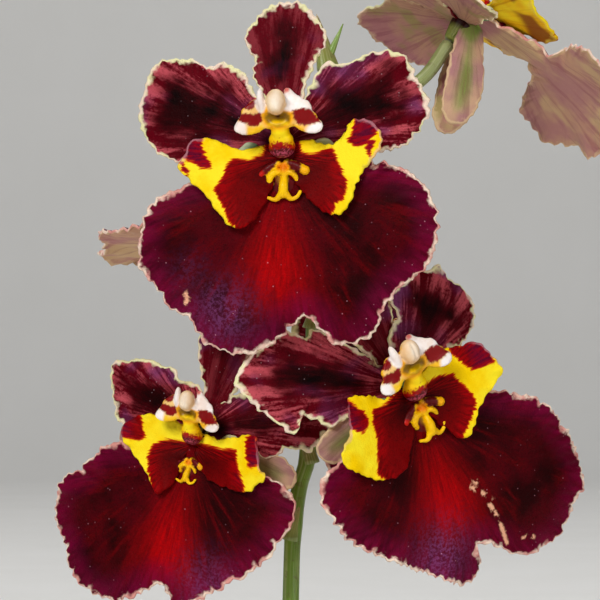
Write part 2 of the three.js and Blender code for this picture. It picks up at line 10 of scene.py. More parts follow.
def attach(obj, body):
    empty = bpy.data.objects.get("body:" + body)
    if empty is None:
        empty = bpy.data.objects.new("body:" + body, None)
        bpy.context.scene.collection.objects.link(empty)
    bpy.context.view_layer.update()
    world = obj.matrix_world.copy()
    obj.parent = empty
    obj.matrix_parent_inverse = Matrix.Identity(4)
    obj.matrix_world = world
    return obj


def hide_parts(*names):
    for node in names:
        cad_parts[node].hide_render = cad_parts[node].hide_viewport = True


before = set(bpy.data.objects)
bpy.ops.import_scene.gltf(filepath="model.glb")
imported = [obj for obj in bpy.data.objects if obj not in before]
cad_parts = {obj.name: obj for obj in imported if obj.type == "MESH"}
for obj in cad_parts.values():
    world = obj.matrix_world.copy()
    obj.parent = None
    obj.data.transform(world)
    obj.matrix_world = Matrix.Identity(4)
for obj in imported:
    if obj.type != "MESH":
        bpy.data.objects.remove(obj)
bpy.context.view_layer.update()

# Potted tolumnia orchid: clay pot, bark, fans of sword leaves and one spray of frilled blooms.
# Lengths are in millimetres until a piece is placed, then in metres. -Y is the side the blooms face.
MM = 0.001
draw = np.random.default_rng(7)

CAMERA_PLACE = (0, -414, 220)
CAMERA_LENS = 240
CAMERA_SENSOR = 36

POT_HEIGHT = 58
POT_RADIUS = 32
POT_FOOT_RADIUS = 23
POT_RIM_HEIGHT = 12
POT_FLOOR = 5
MOUTH_RADIUS = 27.6
WELL_RADIUS = 19.2
DRAIN_RADIUS = 2.2
DRAIN_CIRCLE = 11
BARK_TOP = 51.5
BARK_GAP = 0.3
LEAF_FOOT = 48.2

LEAF_WIDTH = 10.5
LEAF_THICKNESS = 2.3
LEAF_EDGE = 0.45
FAN_HEIGHT = 60
SHEATH_STEP = 2.1
SHEATH_SHIFT = 1.1

TEPAL_LAYER = -0.7
LIP_LAYER = 0.35
EAR_LAYER = 0.65
HUB_DEPTH = 2.6
STALK_GAP = 0.3
STALK_BEND = 4.5
STEM_RADIUS = 1.08
PEDICEL_RADIUS = 0.62

# Outlines of each flower's parts in its own plane, seen from the front, with its axis at 0, 0
TOP_SHAPE = {
    "dorsal": [
        (-1, 1), (-2.4, 5), (-3.3, 6.8), (-3.2, 8.2), (-4.2, 10.3), (-3.7, 11.9), (-1.9, 13.7),
        (0.5, 14.2), (2.6, 12.9), (3.9, 10), (2.9, 8.4), (2.2, 6.4), (1.6, 4.2), (1, 1),
    ],
    "left_petal": [
        (-0.8, 1.6), (-2.8, 4.4), (-4.7, 7.2), (-6.5, 8), (-7.8, 7.6), (-9.6, 8.3), (-11.6, 8.5),
        (-13.7, 8), (-14.8, 5.6), (-15.4, 3), (-14.7, 0.9), (-13.3, -0.8), (-10.5, -1.9), (-6.2, -1.4),
        (-1, -0.6),
    ],
    "right_petal": [
        (0.8, 1.6), (2, 4.4), (4, 7.9), (5.5, 7.8), (7.1, 8.3), (8.8, 9.1), (11.5, 8.8),
        (12.8, 6.7), (14.3, 3.3), (13.4, 1.6), (12, -0.1), (9.3, -0.9), (5, -1), (1, -0.6),
    ],
    "lip": [
        (-9.3, -4.2), (-11.6, -5.1), (-13.3, -6.2), (-14.4, -9.2), (-14.6, -12.6), (-12.8, -14.6),
        (-11.6, -16.5), (-9.4, -17.7), (-8.4, -19.8), (-6.6, -20.7), (-4.1, -21.2), (-1.5, -20.3),
        (0.5, -18.5), (2.2, -17.4), (3.7, -18.6), (5, -20.1), (7, -20), (8.9, -19.1), (10.1, -16.5),
        (11.6, -14.5), (14.2, -12.5), (15.3, -10), (15.3, -7), (14.1, -4.4), (11.6, -2.6), (8.9, -2.1),
        (4.5, -1.2), (0, -0.3), (-4.5, -1.8),
    ],
    "left_ear": [
        (-0.6, -0.4), (-4.2, -0.9), (-6, -0.2), (-7.8, 0.3), (-9, 0), (-9.6, -1.4), (-10.3, -2.5),
        (-9.3, -3.6), (-7.6, -5.2), (-6.2, -7.1), (-4.6, -8.6), (-3, -8), (-1.8, -6.2), (-0.6, -3),
    ],
    "right_ear": [
        (0.6, -0.4), (3.2, 0), (5, -0.5), (6, 0.3), (7.2, 1.9), (8.9, 1.9), (10, 0.6), (9.6, -1.3),
        (8.3, -2.7), (7.5, -4.3), (6.7, -6.4), (5.4, -7.3), (3.8, -6.6), (2, -4.8), (0.6, -3),
    ],
    "ear_marks": [
        [(-1.6, 0.5), (-1.9, -1.3), (-3.4, -1.85), (-4.8, -1.75), (-5.5, -2.4), (-5.8, -3.5), (-6.7, -5),
         (-5.8, -6.3), (-5.4, -7.5), (-4.8, -8.4), (-3, -10), (0, -8), (0.2, 0.5)],
        [(-8.1, 0.2), (-7.8, -1.3), (-7.1, -2.2), (-7.1, -2.6), (-8.1, -2.6), (-8.8, -1.9), (-9.6, -1.8),
         (-10.4, -0.4), (-10, 0.9), (-8.3, 1)],
        [(-9.9, -2.1), (-9.2, -3), (-9.4, -3.4), (-10, -2.6)],
        [(1.6, 0.5), (1.9, -1.1), (2.8, -1.35), (4.4, -0.9), (5, -0.8), (5.5, -1.6), (5.8, -2.6),
         (6.5, -3.8), (6.6, -4.9), (6, -5.9), (5.6, -6.2), (4.6, -8), (0, -8), (-0.2, 0.5)],
        [(7.4, 2.6), (7.2, 0.9), (6.7, 0), (7.5, -0.55), (8.2, -0.4), (9, 0.2), (9.6, 0.8), (9.6, 2.6)],
        [(8.5, -0.8), (9, 0), (9.4, -0.1), (8.9, -1.5)],
    ],
    # Middle, spread and strength of each patch of painted lilac sheen on the lip
    "haze": [(-6.1, -17.2, 2.9, 0.65), (-9.5, -13, 2, 0.2)],
    "scars": [[(-9.7, -14.9), (-9.9, -15.3), (-9.6, -15.7), (-9.9, -16.1)]],
    "sepal_reach": 8.8,
}

RIGHT_SHAPE = {
    "dorsal": TOP_SHAPE["dorsal"],
    "left_petal": [
        (-0.8, 1.6), (-3.6, 5.9), (-5.6, 8.4), (-6.8, 8.9), (-7.5, 8.3), (-8.5, 9.7), (-12.3, 9.3),
        (-14.6, 8.1), (-15.4, 7), (-14.5, 4.3), (-13.1, 1.5), (-12.3, 0.1), (-10.7, 1.5), (-8.7, -0.6),
        (-7.4, -0.6), (-4.9, -0.8), (-1, -0.5),
    ],
    "right_petal": [
        (0.8, 1.6), (0.5, 4.3), (1.2, 5.5), (2.7, 6.4), (2.7, 8.4), (4.5, 8.9), (7.3, 9.2), (8.9, 8.8),
        (10.3, 8.8), (10.3, 7.5), (11.4, 5.7), (11.8, 3.9), (11.3, 2.5), (9.3, 1), (6.2, 0.7), (1.2, -0.2),
    ],
    "lip": [
        (-10.2, -3.9), (-12.5, -4.6), (-13.6, -6.4), (-13, -10), (-11.3, -12.8), (-8.8, -15.5),
        (-5.2, -18.7), (-1.5, -21.8), (0.5, -21.2), (1.1, -18.4), (2, -18.7), (5.8, -21.9), (8.3, -22.5),
        (11.4, -22.1), (13.7, -19.8), (15.2, -18.9), (16.2, -15.6), (15.2, -11.3), (13.1, -7.6),
        (10.3, -5.6), (8.3, -4.4), (4.5, -2.2), (0, -0.3), (-4.5, -1.8),
    ],
    "left_ear": [
        (-0.6, -0.4), (-3.4, -0.1), (-4.8, 0.9), (-7.2, 1.7), (-8, 0.4), (-8.4, -1.3), (-9.9, -2.3),
        (-10.7, -3.5), (-9.3, -5.5), (-7, -7.2), (-4.8, -7.4), (-3, -6), (-1.6, -4.2), (-0.6, -2.4),
    ],
    "right_ear": [
        (0.6, -0.4), (2.4, 0.8), (4.4, 1.7), (6.6, 1.3), (8.2, 1), (9.1, -0.4), (9.7, -2.8), (8.4, -3.7),
        (5.9, -5.2), (4.4, -6.9), (3, -7.3), (1.8, -5.6), (0.6, -3),
    ],
    "ear_marks": [
        [(-0.4, 0.5), (-2.2, -0.2), (-3.4, -0.6), (-5.1, -0.4), (-5.7, -1.3), (-5.9, -2.8), (-6.7, -4.7),
         (-7.8, -6.2), (-6, -8.5), (0, -8), (0.2, 0)],
        [(-7.9, 2.3), (-7.1, 1.1), (-6.3, -0.1), (-6.1, -1), (-6.6, -1.7), (-7.2, -1.9), (-8.2, -1.2),
         (-8.8, 0.5)],
        [(0, 0.2), (1.1, -0.8), (3.3, -0.5), (4.6, -0.9), (5, -1.9), (5.6, -3.3), (5.8, -4.5), (4.9, -5.6),
         (3.9, -6.4), (2.9, -7.1), (1.5, -8.5), (0, -8)],
        [(5.8, 2.2), (6.6, 1.3), (8.3, 1.3), (9.4, 0), (9.2, -1.5), (8, -1.6), (6.7, -1.3), (6.2, -0.4),
         (5.4, 1.2)],
    ],
    "haze": [(-3.3, -17.6, 3, 0.8)],
    "scars": [
        [(2.4, -10.6), (3.1, -12.3), (2.3, -12.5), (4.1, -14.6)],
        [(3.6, -14.9), (4.2, -17.2), (4.3, -19.8)],
        [(6.4, -20.4), (7.2, -20.4), (7.9, -20.9)],
    ],
    "sepal_reach": 10.6,
}

LEFT_SHAPE = {
    "dorsal": [
        (-1, 1), (-1, 3.9), (-2.5, 6.9), (-3.1, 8.8), (-2.8, 10.9), (-0.8, 12.3), (1.6, 11.6),
        (3.2, 9.1), (2.8, 5.9), (1, 1),
    ],
    "left_petal": [
        (-0.8, 1.6), (-1.5, 4), (-3.8, 4.4), (-5, 5.2), (-6.7, 5.3), (-9.3, 5.4), (-11.5, 4.6),
        (-13.3, 4.2), (-12.9, 1.8), (-11.7, -0.2), (-10.6, -1.6), (-5.3, -1.4), (-1, -0.5),
    ],
    "right_petal": [
        (0.6, 1.6), (3.2, 4.4), (8.6, 5.1), (12.7, 4.7), (13.1, 2.8), (12.3, 1.1), (11.3, 0.2),
        (9.5, 0.3), (7.8, -1.2), (5.5, -1), (1, -0.6),
    ],
    "lip": [
        (-6.4, -3), (-8.8, -3.4), (-10.9, -4.7), (-12.7, -7.2), (-14.5, -8.6), (-15.2, -10.6),
        (-15.2, -13), (-13.2, -15.8), (-12.6, -17.4), (-9.6, -19.6), (-6.3, -19.7), (-3, -18),
        (-1.1, -16.5), (-0.2, -17.6), (1.2, -18.6), (3.7, -17), (8.1, -13.6), (10.9, -10.7), (12, -8.4),
        (12.9, -6.4), (11.8, -4), (9, -2.8), (4.5, -1.3), (0, -0.3), (-3.5, -1.4),
    ],
    "left_ear": [
        (-0.6, -0.4), (-4.1, 0.4), (-6, 0.2), (-7.8, -1.2), (-7.8, -2.3), (-6.9, -3.3), (-4.9, -4.8),
        (-3.7, -6.2), (-2.4, -7.2), (-1.4, -6.2), (-0.6, -3),
    ],
    "right_ear": [
        (0.6, -0.4), (2.8, -0.4), (5.5, 0.5), (7.2, 1), (8, -0.4), (8.5, -2.1), (9.7, -2.7),
        (8.6, -3.7), (7.8, -4.6), (5.6, -4.8), (2.6, -4.4), (0.6, -2.6),
    ],
    "ear_marks": [
        [(2, -1.2), (-0.4, -1.4), (-3.1, -1.7), (-4.1, -2.5), (-4.5, -3.6), (-4.2, -4.9), (-3.6, -6.3),
         (-2.4, -8), (0, -7), (2, -3)],
        [(-8.6, -0.6), (-7.6, -0.3), (-6.2, 0.2), (-5.8, -0.7), (-5.3, -1.9), (-5.8, -2.4), (-6.9, -2.4),
         (-8.6, -2.4)],
        [(1, -1.2), (3.6, -1.2), (5.4, -1), (6.1, -2.8), (7.3, -4.2), (7.6, -6), (2, -6), (0, -3)],
        [(6.4, 0.6), (7.2, 1.3), (8.4, -0.4), (8.6, -1.6), (7.5, -2.2), (6.8, -1.3)],
    ],
    "haze": [(4.6, -15.5, 3, 0.55)],
    "scars": [],
    "sepal_reach": 10.6,
}

# The bloom seen from behind shows the narrow neck of its lip and side sepals that hang back
HIGH_SHAPE = {
    **TOP_SHAPE,
    "lip": [
        (-2.6, -1.6), (-3, -5), (-2.8, -8), (-5, -9.6), (-9.5, -10.2), (-13, -12), (-13.6, -15),
        (-11, -18), (-7, -20.4), (-3, -20.6), (0, -18.6), (3, -20.4), (7.5, -20), (11.5, -17.8),
        (14, -14.6), (13.5, -11.6), (9.5, -10), (5, -9.4), (2.8, -7.8), (3, -5), (2.6, -1.6), (0, -0.3),
    ],
    "sepal_reach": 12,
    "sepal_droop": 76,
    "sepal_tilt": -10,
}


def resized(shape, factor):
    """The same flower at another size."""
    def sized(value):
        if isinstance(value, (int, float)):
            return value * factor
        return [sized(part) for part in value] if isinstance(value, list) else tuple(map(sized, value))
    return {part: sized(value) for part, value in shape.items()}


SMALL_SHAPE = resized(TOP_SHAPE, 0.75)

# Each bloom: the middle of its face, its yaw, pitch and roll, the height where its stalk leaves the
# stem, the spacing of its mesh, and where they differ the route of its stalk and the sizes of its
# column and callus
BLOOMS = [
    {"name": "top_bloom", "shape": TOP_SHAPE, "centre": (-1.6, -14, 235.8), "turns": (-8, 0, 0),
     "node": 226, "spacing": 0.25},
    {"name": "right_bloom", "shape": RIGHT_SHAPE, "centre": (10.6, -8, 211.4), "turns": (27, 0, 24),
     "node": 205, "spacing": 0.25},
    {"name": "left_bloom", "shape": LEFT_SHAPE, "centre": (-10.3, -0.5, 206.6), "turns": (-27, 0, -12),
     "node": 197, "spacing": 0.25, "column_size": 0.84, "callus_size": 0.66},
    {"name": "high_bloom", "shape": HIGH_SHAPE, "centre": (17.6, 5.6, 249.6), "turns": (116, 51, -18),
     "node": 236, "spacing": 0.34},
    {"name": "far_left_bloom", "shape": SMALL_SHAPE, "centre": (-7.4, 15, 225.8),
     "turns": (-182, 75, 43), "node": 219, "spacing": 0.34},
    {"name": "far_right_bloom", "shape": SMALL_SHAPE, "centre": (10.2, 12.2, 214), "turns": (35, 0, 0),
     "node": 222, "via": [(5.5, 8.3, 224), (5, 15, 221)], "spacing": 0.34},
]

STEM_ROUTE = [
    (1.2, 5.2, 44), (1.5, 5, 80), (0.6, 4.2, 130), (-0.6, 3.2, 170), (-0.94, 3, 190.2),
    (-0.63, 3, 196.5), (0, 3, 200.8), (0.73, 3, 203.3), (1.46, 3, 217.8), (2.61, 3, 244.4),
    (3.34, 3, 246.1), (4.5, 3, 248.8),
]
# Height, length and turn about the stem of each bract
STEM_BRACTS = [(105, 9, 120), (150, 8, -60), (245, 6, -120)]

# Each fan: its foot on the bark, the heading of its flat side, its lean and the lengths of its leaves
FANS = [
    {"name": "front_fan", "foot": (-2, -12), "heading": -31, "lean": (-4, -13), "leaves": (50, 62, 62, 56)},
    {"name": "east_fan", "foot": (12.5, 3.5), "heading": 80, "lean": (13, 7), "leaves": (52, 64, 70, 49)},
    {"name": "young_fan", "foot": (5, 15), "heading": 36, "lean": (5, 9), "leaves": (26, 34)},
    {"name": "back_fan", "foot": (-9, 11.5), "heading": -150, "lean": (-6, 12), "leaves": (48, 60, 66, 54)},
]

RHIZOME_HEIGHT = 45.1
RHIZOME_RADIUS = 1.8
ROOT_RADIUS = 1.1
ROOT_ROUTES = [
    [(-2, -12, 44.5), (-10, -16, 44.8), (-15, -17.6, 49), (-16.8, -18.2, 56.5), (-20, -20.8, 61.2),
     (-24, -24, 60.4), (-25.6, -25.8, 56), (-25.8, -26.2, 48), (-27, -27.6, 39)],
    [(12.5, 3.5, 44.5), (17.5, -8, 44.8), (20.4, -11.6, 50), (21.6, -12.4, 56.5), (25.8, -14.8, 61.4),
     (30.2, -17.2, 60.2), (32, -18.4, 55), (31.6, -18.6, 46)],
    [(-9, 11.5, 44.5), (-17.6, 3, 45), (-21, -2, 50.8), (-21.4, -7, 54), (-19.6, -12, 54.6)],
]


# Camera
bpy.ops.object.select_all(action="DESELECT")
bpy.ops.object.camera_add(location=[value * MM for value in CAMERA_PLACE], rotation=(math.pi / 2, 0, 0))
camera = bpy.context.object
camera.data.lens = CAMERA_LENS
camera.data.sensor_width = CAMERA_SENSOR
bpy.context.scene.camera = camera
bpy.context.scene.view_settings.view_transform = "Standard"


# Shader helpers: they take numbers, colours and sockets, and add nodes to the sockets' own tree
def linear(colour):
    """An sRGB colour of 0 to 255 as the shader's own numbers."""
    return tuple((value / 255) ** 2.2 for value in colour) + (1,)


def tone(colour):
    return np.array(linear(colour))


def plug(shader_node, inputs):
    """Feeds a node and gives its outputs."""
    for slot, value in inputs.items():
        if isinstance(value, bpy.types.NodeSocket):
            shader_node.id_data.links.new(value, shader_node.inputs[slot])
        else:
            shader_node.inputs[slot].default_value = value
    return shader_node.outputs


def put(tree, kind, inputs, **settings):
    shader_node = tree.nodes.new("ShaderNode" + kind)
    for key, value in settings.items():
        setattr(shader_node, key, value)
    return plug(shader_node, inputs)


def tree_of(values):
    return next(value.id_data for value in values if isinstance(value, bpy.types.NodeSocket))


def calc(operation, *values):
    return put(tree_of(values), "Math", dict(enumerate(values)), operation=operation)[0]


def plus(*values):
    return functools.reduce(functools.partial(calc, "ADD"), values)


def times(*values):
    return functools.reduce(functools.partial(calc, "MULTIPLY"), values)


def sloped(value, slope, start):
    return calc("MULTIPLY_ADD", value, slope, start)


def vector_calc(operation, vector, others):
    return put(vector.id_data, "VectorMath", {0: vector, **others}, operation=operation)


def scaled(vector, factor):
    return vector_calc("SCALE", vector, {"Scale": factor})[0]


def stretched(vector, factors):
    return vector_calc("MULTIPLY", vector, {1: factors})[0]


def shifted(vector, offset):
    return vector_calc("ADD", vector, {1: offset})[0]


def flat_reach(place):
    """How far a place on a petal is from the middle of its flower."""
    return vector_calc("LENGTH", stretched(place, (1, 1, 0)), {})["Value"]


def soft_step(value, low, high):
    """0 below low, 1 above high and smooth between them."""
    inputs = {"Value": value, "From Min": low, "From Max": high}
    return put(value.id_data, "MapRange", inputs, interpolation_type="SMOOTHSTEP")[0]


def soft_fall(value, low, high):
    return calc("SUBTRACT", 1.0, soft_step(value, low, high))


def over(ground, colour, *masks, kind="MIX"):
    """A colour laid on a ground, as strong as the product of its masks."""
    first, second = [linear(part) if isinstance(part, tuple) else part for part in (ground, colour)]
    inputs = {0: times(*masks), 6: first, 7: second}
    return put(tree_of((first, second, *masks)), "Mix", inputs, data_type="RGBA", blend_type=kind)[2]


def clouds(vector, scale, detail=3, roughness=0.55):
    inputs = {"Vector": vector, "Scale": scale, "Detail": detail, "Roughness": roughness}
    return put(vector.id_data, "TexNoise", inputs)["Fac"]


def cells(vector, scale, feature="F1"):
    return put(vector.id_data, "TexVoronoi", {"Vector": vector, "Scale": scale}, feature=feature)["Distance"]


def noted(tree, name, output="Fac"):
    return put(tree, "Attribute", {}, attribute_name=name)[output]


def in_mm(tree):
    return scaled(put(tree, "TexCoord", {})["Object"], 1000)


def surface(colour, height, depth, strength=0.5):
    """A shader's colour and its relief, whose depth is in millimetres."""
    bump = put(height.id_data, "Bump", {"Height": height, "Distance": depth * MM, "Strength": strength})
    return {"Base Color": colour, "Normal": bump[0]}


# Effects that several materials share
def effect(name, inputs, parts):
    """A node group: parts takes its inputs in their order and gives its outputs by name."""
    tree = bpy.data.node_groups.new(name, "ShaderNodeTree")
    for label, value in inputs.items():
        kind = "NodeSocketVector" if value is None else "NodeSocketFloat"
        socket = tree.interface.new_socket(name=label, in_out="INPUT", socket_type=kind)
        if value is not None:
            socket.default_value = value
    given = tree.nodes.new("NodeGroupInput").outputs
    results = parts(*[given[label] for label in inputs])
    for label in results:
        tree.interface.new_socket(name=label, in_out="OUTPUT", socket_type="NodeSocketFloat")
    plug(tree.nodes.new("NodeGroupOutput"), results)
    return tree


def vein_parts(place, count, stretch):
    """Long streaks that run out from the middle of a flower."""
    heading = vector_calc("NORMALIZE", stretched(place, (1, 1, 0)), {})[0]
    depth = times(flat_reach(place), stretch)
    upright = put(depth.id_data, "CombineXYZ", {2: depth})[0]
    return {"Streak": clouds(shifted(scaled(heading, count), upright), 1, 5, 0.62)}


def rim_parts(place, rim, width):
    """A pale band along a petal's edge, wide here and nearly gone there, and its shade."""
    broad = soft_step(clouds(place, 0.42, 2), 0.36, 0.64)
    fine = soft_step(clouds(place, 1.3, 2, 0.4), 0.3, 0.72)
    breadth = times(sloped(broad, 0.9, 0.25), width, sloped(fine, 1, 0.5))
    share = calc("DIVIDE", rim, calc("MAXIMUM", breadth, 0.03))
    return {"Band": soft_fall(share, 0.3, 1.6), "Shade": soft_step(clouds(place, 0.8), 0.4, 0.62)}


def velvet_parts(place):
    """The fine pimpled skin of a petal, with a scatter of bright specks: painted glints where the pimples
    catch the light.
    """
    pimples = sloped(clouds(place, 1.6), 1.4, cells(place, 6))
    chosen = soft_step(clouds(place, 0.9, 2), 0.52, 0.62)
    return {"Height": pimples, "Glint": times(soft_fall(cells(place, 1.5), 0.05, 0.13), chosen)}


def mottle_parts(place, size):
    """Two clouds, one broad and one fine, for uneven natural colour."""
    sized = scaled(place, size)
    return {"Broad": soft_step(clouds(sized, 0.35), 0.36, 0.64),
            "Fine": soft_step(clouds(sized, 2.4, 5, 0.65), 0.35, 0.65)}


VEINS = effect("Vein streaks", {"Place": None, "Count": 9.0, "Stretch": 0.22}, vein_parts)
PALE_RIM = effect("Pale rim", {"Place": None, "Rim": 9.0, "Width": 0.4}, rim_parts)
VELVET = effect("Velvet skin", {"Place": None}, velvet_parts)
MOTTLE = effect("Mottle", {"Place": None, "Size": 1.0}, mottle_parts)


def placed(group, **inputs):
    shader_node = tree_of(inputs.values()).nodes.new("ShaderNodeGroup")
    shader_node.node_tree = group
    return plug(shader_node, inputs)


def streaks(place, count, stretch):
    return placed(VEINS, Place=place, Count=count, Stretch=stretch)["Streak"]


def mottled(place, size):
    return placed(MOTTLE, Place=place, Size=size)


def banded(colour, petal, width, strength, first, second=None):
    """The pale rim of a petal, in one shade or between two."""
    band = placed(PALE_RIM, Place=petal["place"], Rim=petal["rim"], Width=width)
    return over(colour, over(first, second or first, band["Shade"]), band["Band"], strength)


# Looks: each takes the tree of a material and gives inputs of its shader
# Rim creams: the rims' own cream, set lighter as painted light so that rims turned away from the lamps still
# glow
CREAM = (240, 234, 178)
ROSE_CREAM = (248, 222, 200)


def petal_notes(tree):
    """What every petal look reads: where it is, how far from the rim, its grain and its skin, with its
    painted glints.
    """
    skin_parts = placed(VELVET, Place=in_mm(tree))
    return {"place": noted(tree, "place", "Vector"), "rim": noted(tree, "rim"),
            "Height": skin_parts["Height"], "Glint": skin_parts["Glint"]}


def tepal_front(tree):
    """Dark wine velvet, with rose bars that run in from a pale rim and a veil of lilac that is painted sheen.
    """
    petal = petal_notes(tree)
    place, rim = petal["place"], petal["rim"]
    streak, hairs = streaks(place, 10, 0.12), streaks(place, 26, 0.5)
    grain = clouds(place, 3, 4, 0.7)
    colour = over((16, 0, 3), (40, 0, 8), mottled(place, 0.6)["Broad"])
    depth = plus(rim, sloped(clouds(place, 0.3, 2), 5, -2.5), sloped(hairs, 3, -1.5))
    colour = over(colour, (92, 2, 22), soft_fall(depth, 0.8, 4.2))
    ragged = plus(streak, sloped(grain, 0.3, -0.15))
    plain = sloped(noted(tree, "glow"), -0.8, 1)
    bars = times(soft_step(ragged, 0.45, 0.59), soft_fall(depth, 0.3, 3), plain)
    # Painted sheen: lilac clouds that stand for light caught by the velvet; they also tint the bars
    lilac = soft_step(clouds(place, 0.16, 2), 0.5, 0.66)
    colour = over(colour, over((206, 88, 98), (146, 72, 116), lilac), bars, 0.85)
    colour = over(colour, (104, 52, 94), lilac, soft_fall(rim, 0.6, 3.4), 0.5, sloped(grain, 1.4, 0.3))
    colour = over(colour, (30, 0, 8), soft_step(grain, 0.5, 0.7), 0.35)
    colour = banded(colour, petal, 0.32, 1, CREAM, ROSE_CREAM)
    # Painted highlight: the glints, bright specks where light catches the pimpled skin
    colour = over(colour, (210, 180, 190), petal["Glint"], 0.35)
    return surface(colour, petal["Height"], 0.08)


def lip_front(tree):
    """Maroon velvet, red down the middle in its own colour and in painted light on the raised middle, with
    painted lilac sheen, pale scars and a thin rim.
    """
    petal = petal_notes(tree)
    place = petal["place"]
    claw = shifted(place, (0, 3, 0))
    streak, hairs = streaks(claw, 8, 0.14), streaks(claw, 26, 0.3)
    grain = clouds(place, 3.2, 4, 0.7)
    colour = over((42, 0, 8), (76, 1, 17), mottled(place, 0.5)["Broad"])
    colour = over(colour, (88, 1, 14), soft_step(streak, 0.48, 0.66))
    colour = over(colour, (26, 0, 7), soft_step(grain, 0.48, 0.68), 0.5)
    # Partly painted light: the red down the middle is the lip's own red, laid brighter along the raised
    # middle where the light falls
    colour = over(colour, (176, 0, 12), noted(tree, "glow"), sloped(hairs, 2.2, -0.2), sloped(grain, -1, 1.5))
    near = soft_fall(plus(petal["rim"], sloped(hairs, 3, -1.5)), 0.2, 3.4)
    colour = over(colour, (124, 14, 58), sloped(soft_step(hairs, 0.36, 0.66), 0.5, 0.25), near)
    # Painted sheen: grainy lilac patches that stand for light caught by the velvet
    sheen_grain = sloped(soft_step(grain, 0.42, 0.6), 0.6, 0.12)
    colour = over(colour, (138, 72, 126), noted(tree, "haze"), sheen_grain)
    scar = soft_fall(times(noted(tree, "scar"), sloped(grain, 2, 0.1)), 0.12, 0.4)
    colour = over(colour, (240, 176, 140), scar, soft_step(clouds(place, 0.9), 0.44, 0.54))
    colour = banded(colour, petal, 0.3, 1, ROSE_CREAM, (220, 150, 140))
    # Painted highlight: the glints, bright specks where light catches the pimpled skin
    colour = over(colour, (226, 160, 180), petal["Glint"], 0.5)
    return surface(colour, petal["Height"], 0.08)


def ear_front(tree):
    """Bright yellow, with maroon patches whose edges run out in fine red hairs."""
    petal = petal_notes(tree)
    place, mark = petal["place"], noted(tree, "mark")
    hairs = streaks(shifted(place, (0, 1.5, 0)), 24, 0.5)
    depth = plus(mark, sloped(hairs, 1.2, -0.6))
    middle = flat_reach(place)
    height = put(tree, "SeparateXYZ", {0: place})[1]
    maroon = over((112, 0, 9), (92, 12, 42), soft_step(middle, 6.4, 8), soft_step(height, -4.6, -2.6))
    maroon = over(maroon, (52, 0, 5), soft_fall(middle, 2, 7))
    maroon = over(maroon, (40, 0, 6), soft_step(clouds(place, 3.2, 4, 0.7), 0.48, 0.68), 0.4)
    maroon = over(maroon, (168, 4, 14), soft_fall(mark, 0.2, 1.8), soft_step(hairs, 0.4, 0.6), 0.65)
    colour = over((252, 206, 0), (255, 230, 44), mottled(place, 0.8)["Broad"])
    colour = over(colour, (206, 60, 14), soft_step(depth, -0.22, 0))
    colour = over(colour, maroon, soft_step(depth, -0.08, 0.12))
    tips = times(soft_step(middle, 7.4, 8.6), soft_step(height, -3, -1.5), 0.5)
    colour = banded(colour, petal, 0.2, tips, (214, 150, 160))
    return surface(colour, petal["Height"], 0.05)


def petal_back(tree, first, second, third, vein_colour, edge_colour, show_through=0):
    """The paler underside of a petal, with its veins and, at the tips, the front's patches."""
    petal = petal_notes(tree)
    place = petal["place"]
    colour = over(first, second, mottled(place, 0.6)["Broad"])
    colour = over(colour, third, soft_step(clouds(place, 0.22, 2), 0.46, 0.62))
    colour = over(colour, vein_colour, soft_step(streaks(place, 15, 0.12), 0.48, 0.66), 0.5)
    spots = times(soft_step(noted(tree, "mark"), -0.3, 0.3), soft_step(flat_reach(place), 6, 7.2))
    colour = over(colour, (120, 24, 30), spots, show_through)
    colour = banded(colour, petal, 0.36, 0.6, edge_colour)
    return surface(colour, petal["Height"], 0.06)


def sepal_green(tree):
    """The side sepals behind the ears: green down the middle, mauve and tan to their edges."""
    petal = petal_notes(tree)
    place = petal["place"]
    broad, hairs = mottled(place, 0.7)["Broad"], streaks(place, 12, 0.15)
    green = over((118, 136, 66), (146, 152, 90), broad)
    mauve = over((172, 124, 124), (196, 158, 130), broad)
    inner = plus(petal["rim"], sloped(hairs, 1.6, -0.8))
    colour = over(mauve, green, soft_step(inner, 0.5, 2.1))
    colour = over(colour, (132, 84, 84), soft_step(hairs, 0.5, 0.66), 0.4)
    colour = banded(colour, petal, 0.2, 0.7, (226, 196, 150))
    return surface(colour, petal["Height"], 0.05)


def painted_flesh(tree):
    """Waxy flesh in the colours painted on the mesh."""
    patches = mottled(in_mm(tree), 1.6)
    tint = noted(tree, "tint", "Color")
    deeper = over(tint, (238, 222, 208), 1, kind="MULTIPLY")
    colour = over(tint, deeper, patches["Broad"], 0.7)
    return surface(colour, patches["Fine"], 0.005, 0.3)


def stem_green(tree):
    """Finely ribbed skin with brown freckles, in the greens painted on the mesh."""
    lines = clouds(noted(tree, "place", "Vector"), 1.8, 4, 0.6)
    patches = mottled(in_mm(tree), 0.5)
    tint = noted(tree, "tint", "Color")
    paler = over(tint, (255, 252, 200), 1, kind="SCREEN")
    darker = over(tint, (206, 206, 180), 1, kind="MULTIPLY")
    colour = over(tint, paler, soft_step(lines, 0.42, 0.7), 0.28)
    colour = over(colour, darker, patches["Broad"], 0.55)
    colour = over(colour, (96, 62, 40), soft_step(patches["Fine"], 0.86, 1), 0.35)
    return surface(colour, lines, 0.08, 0.45)


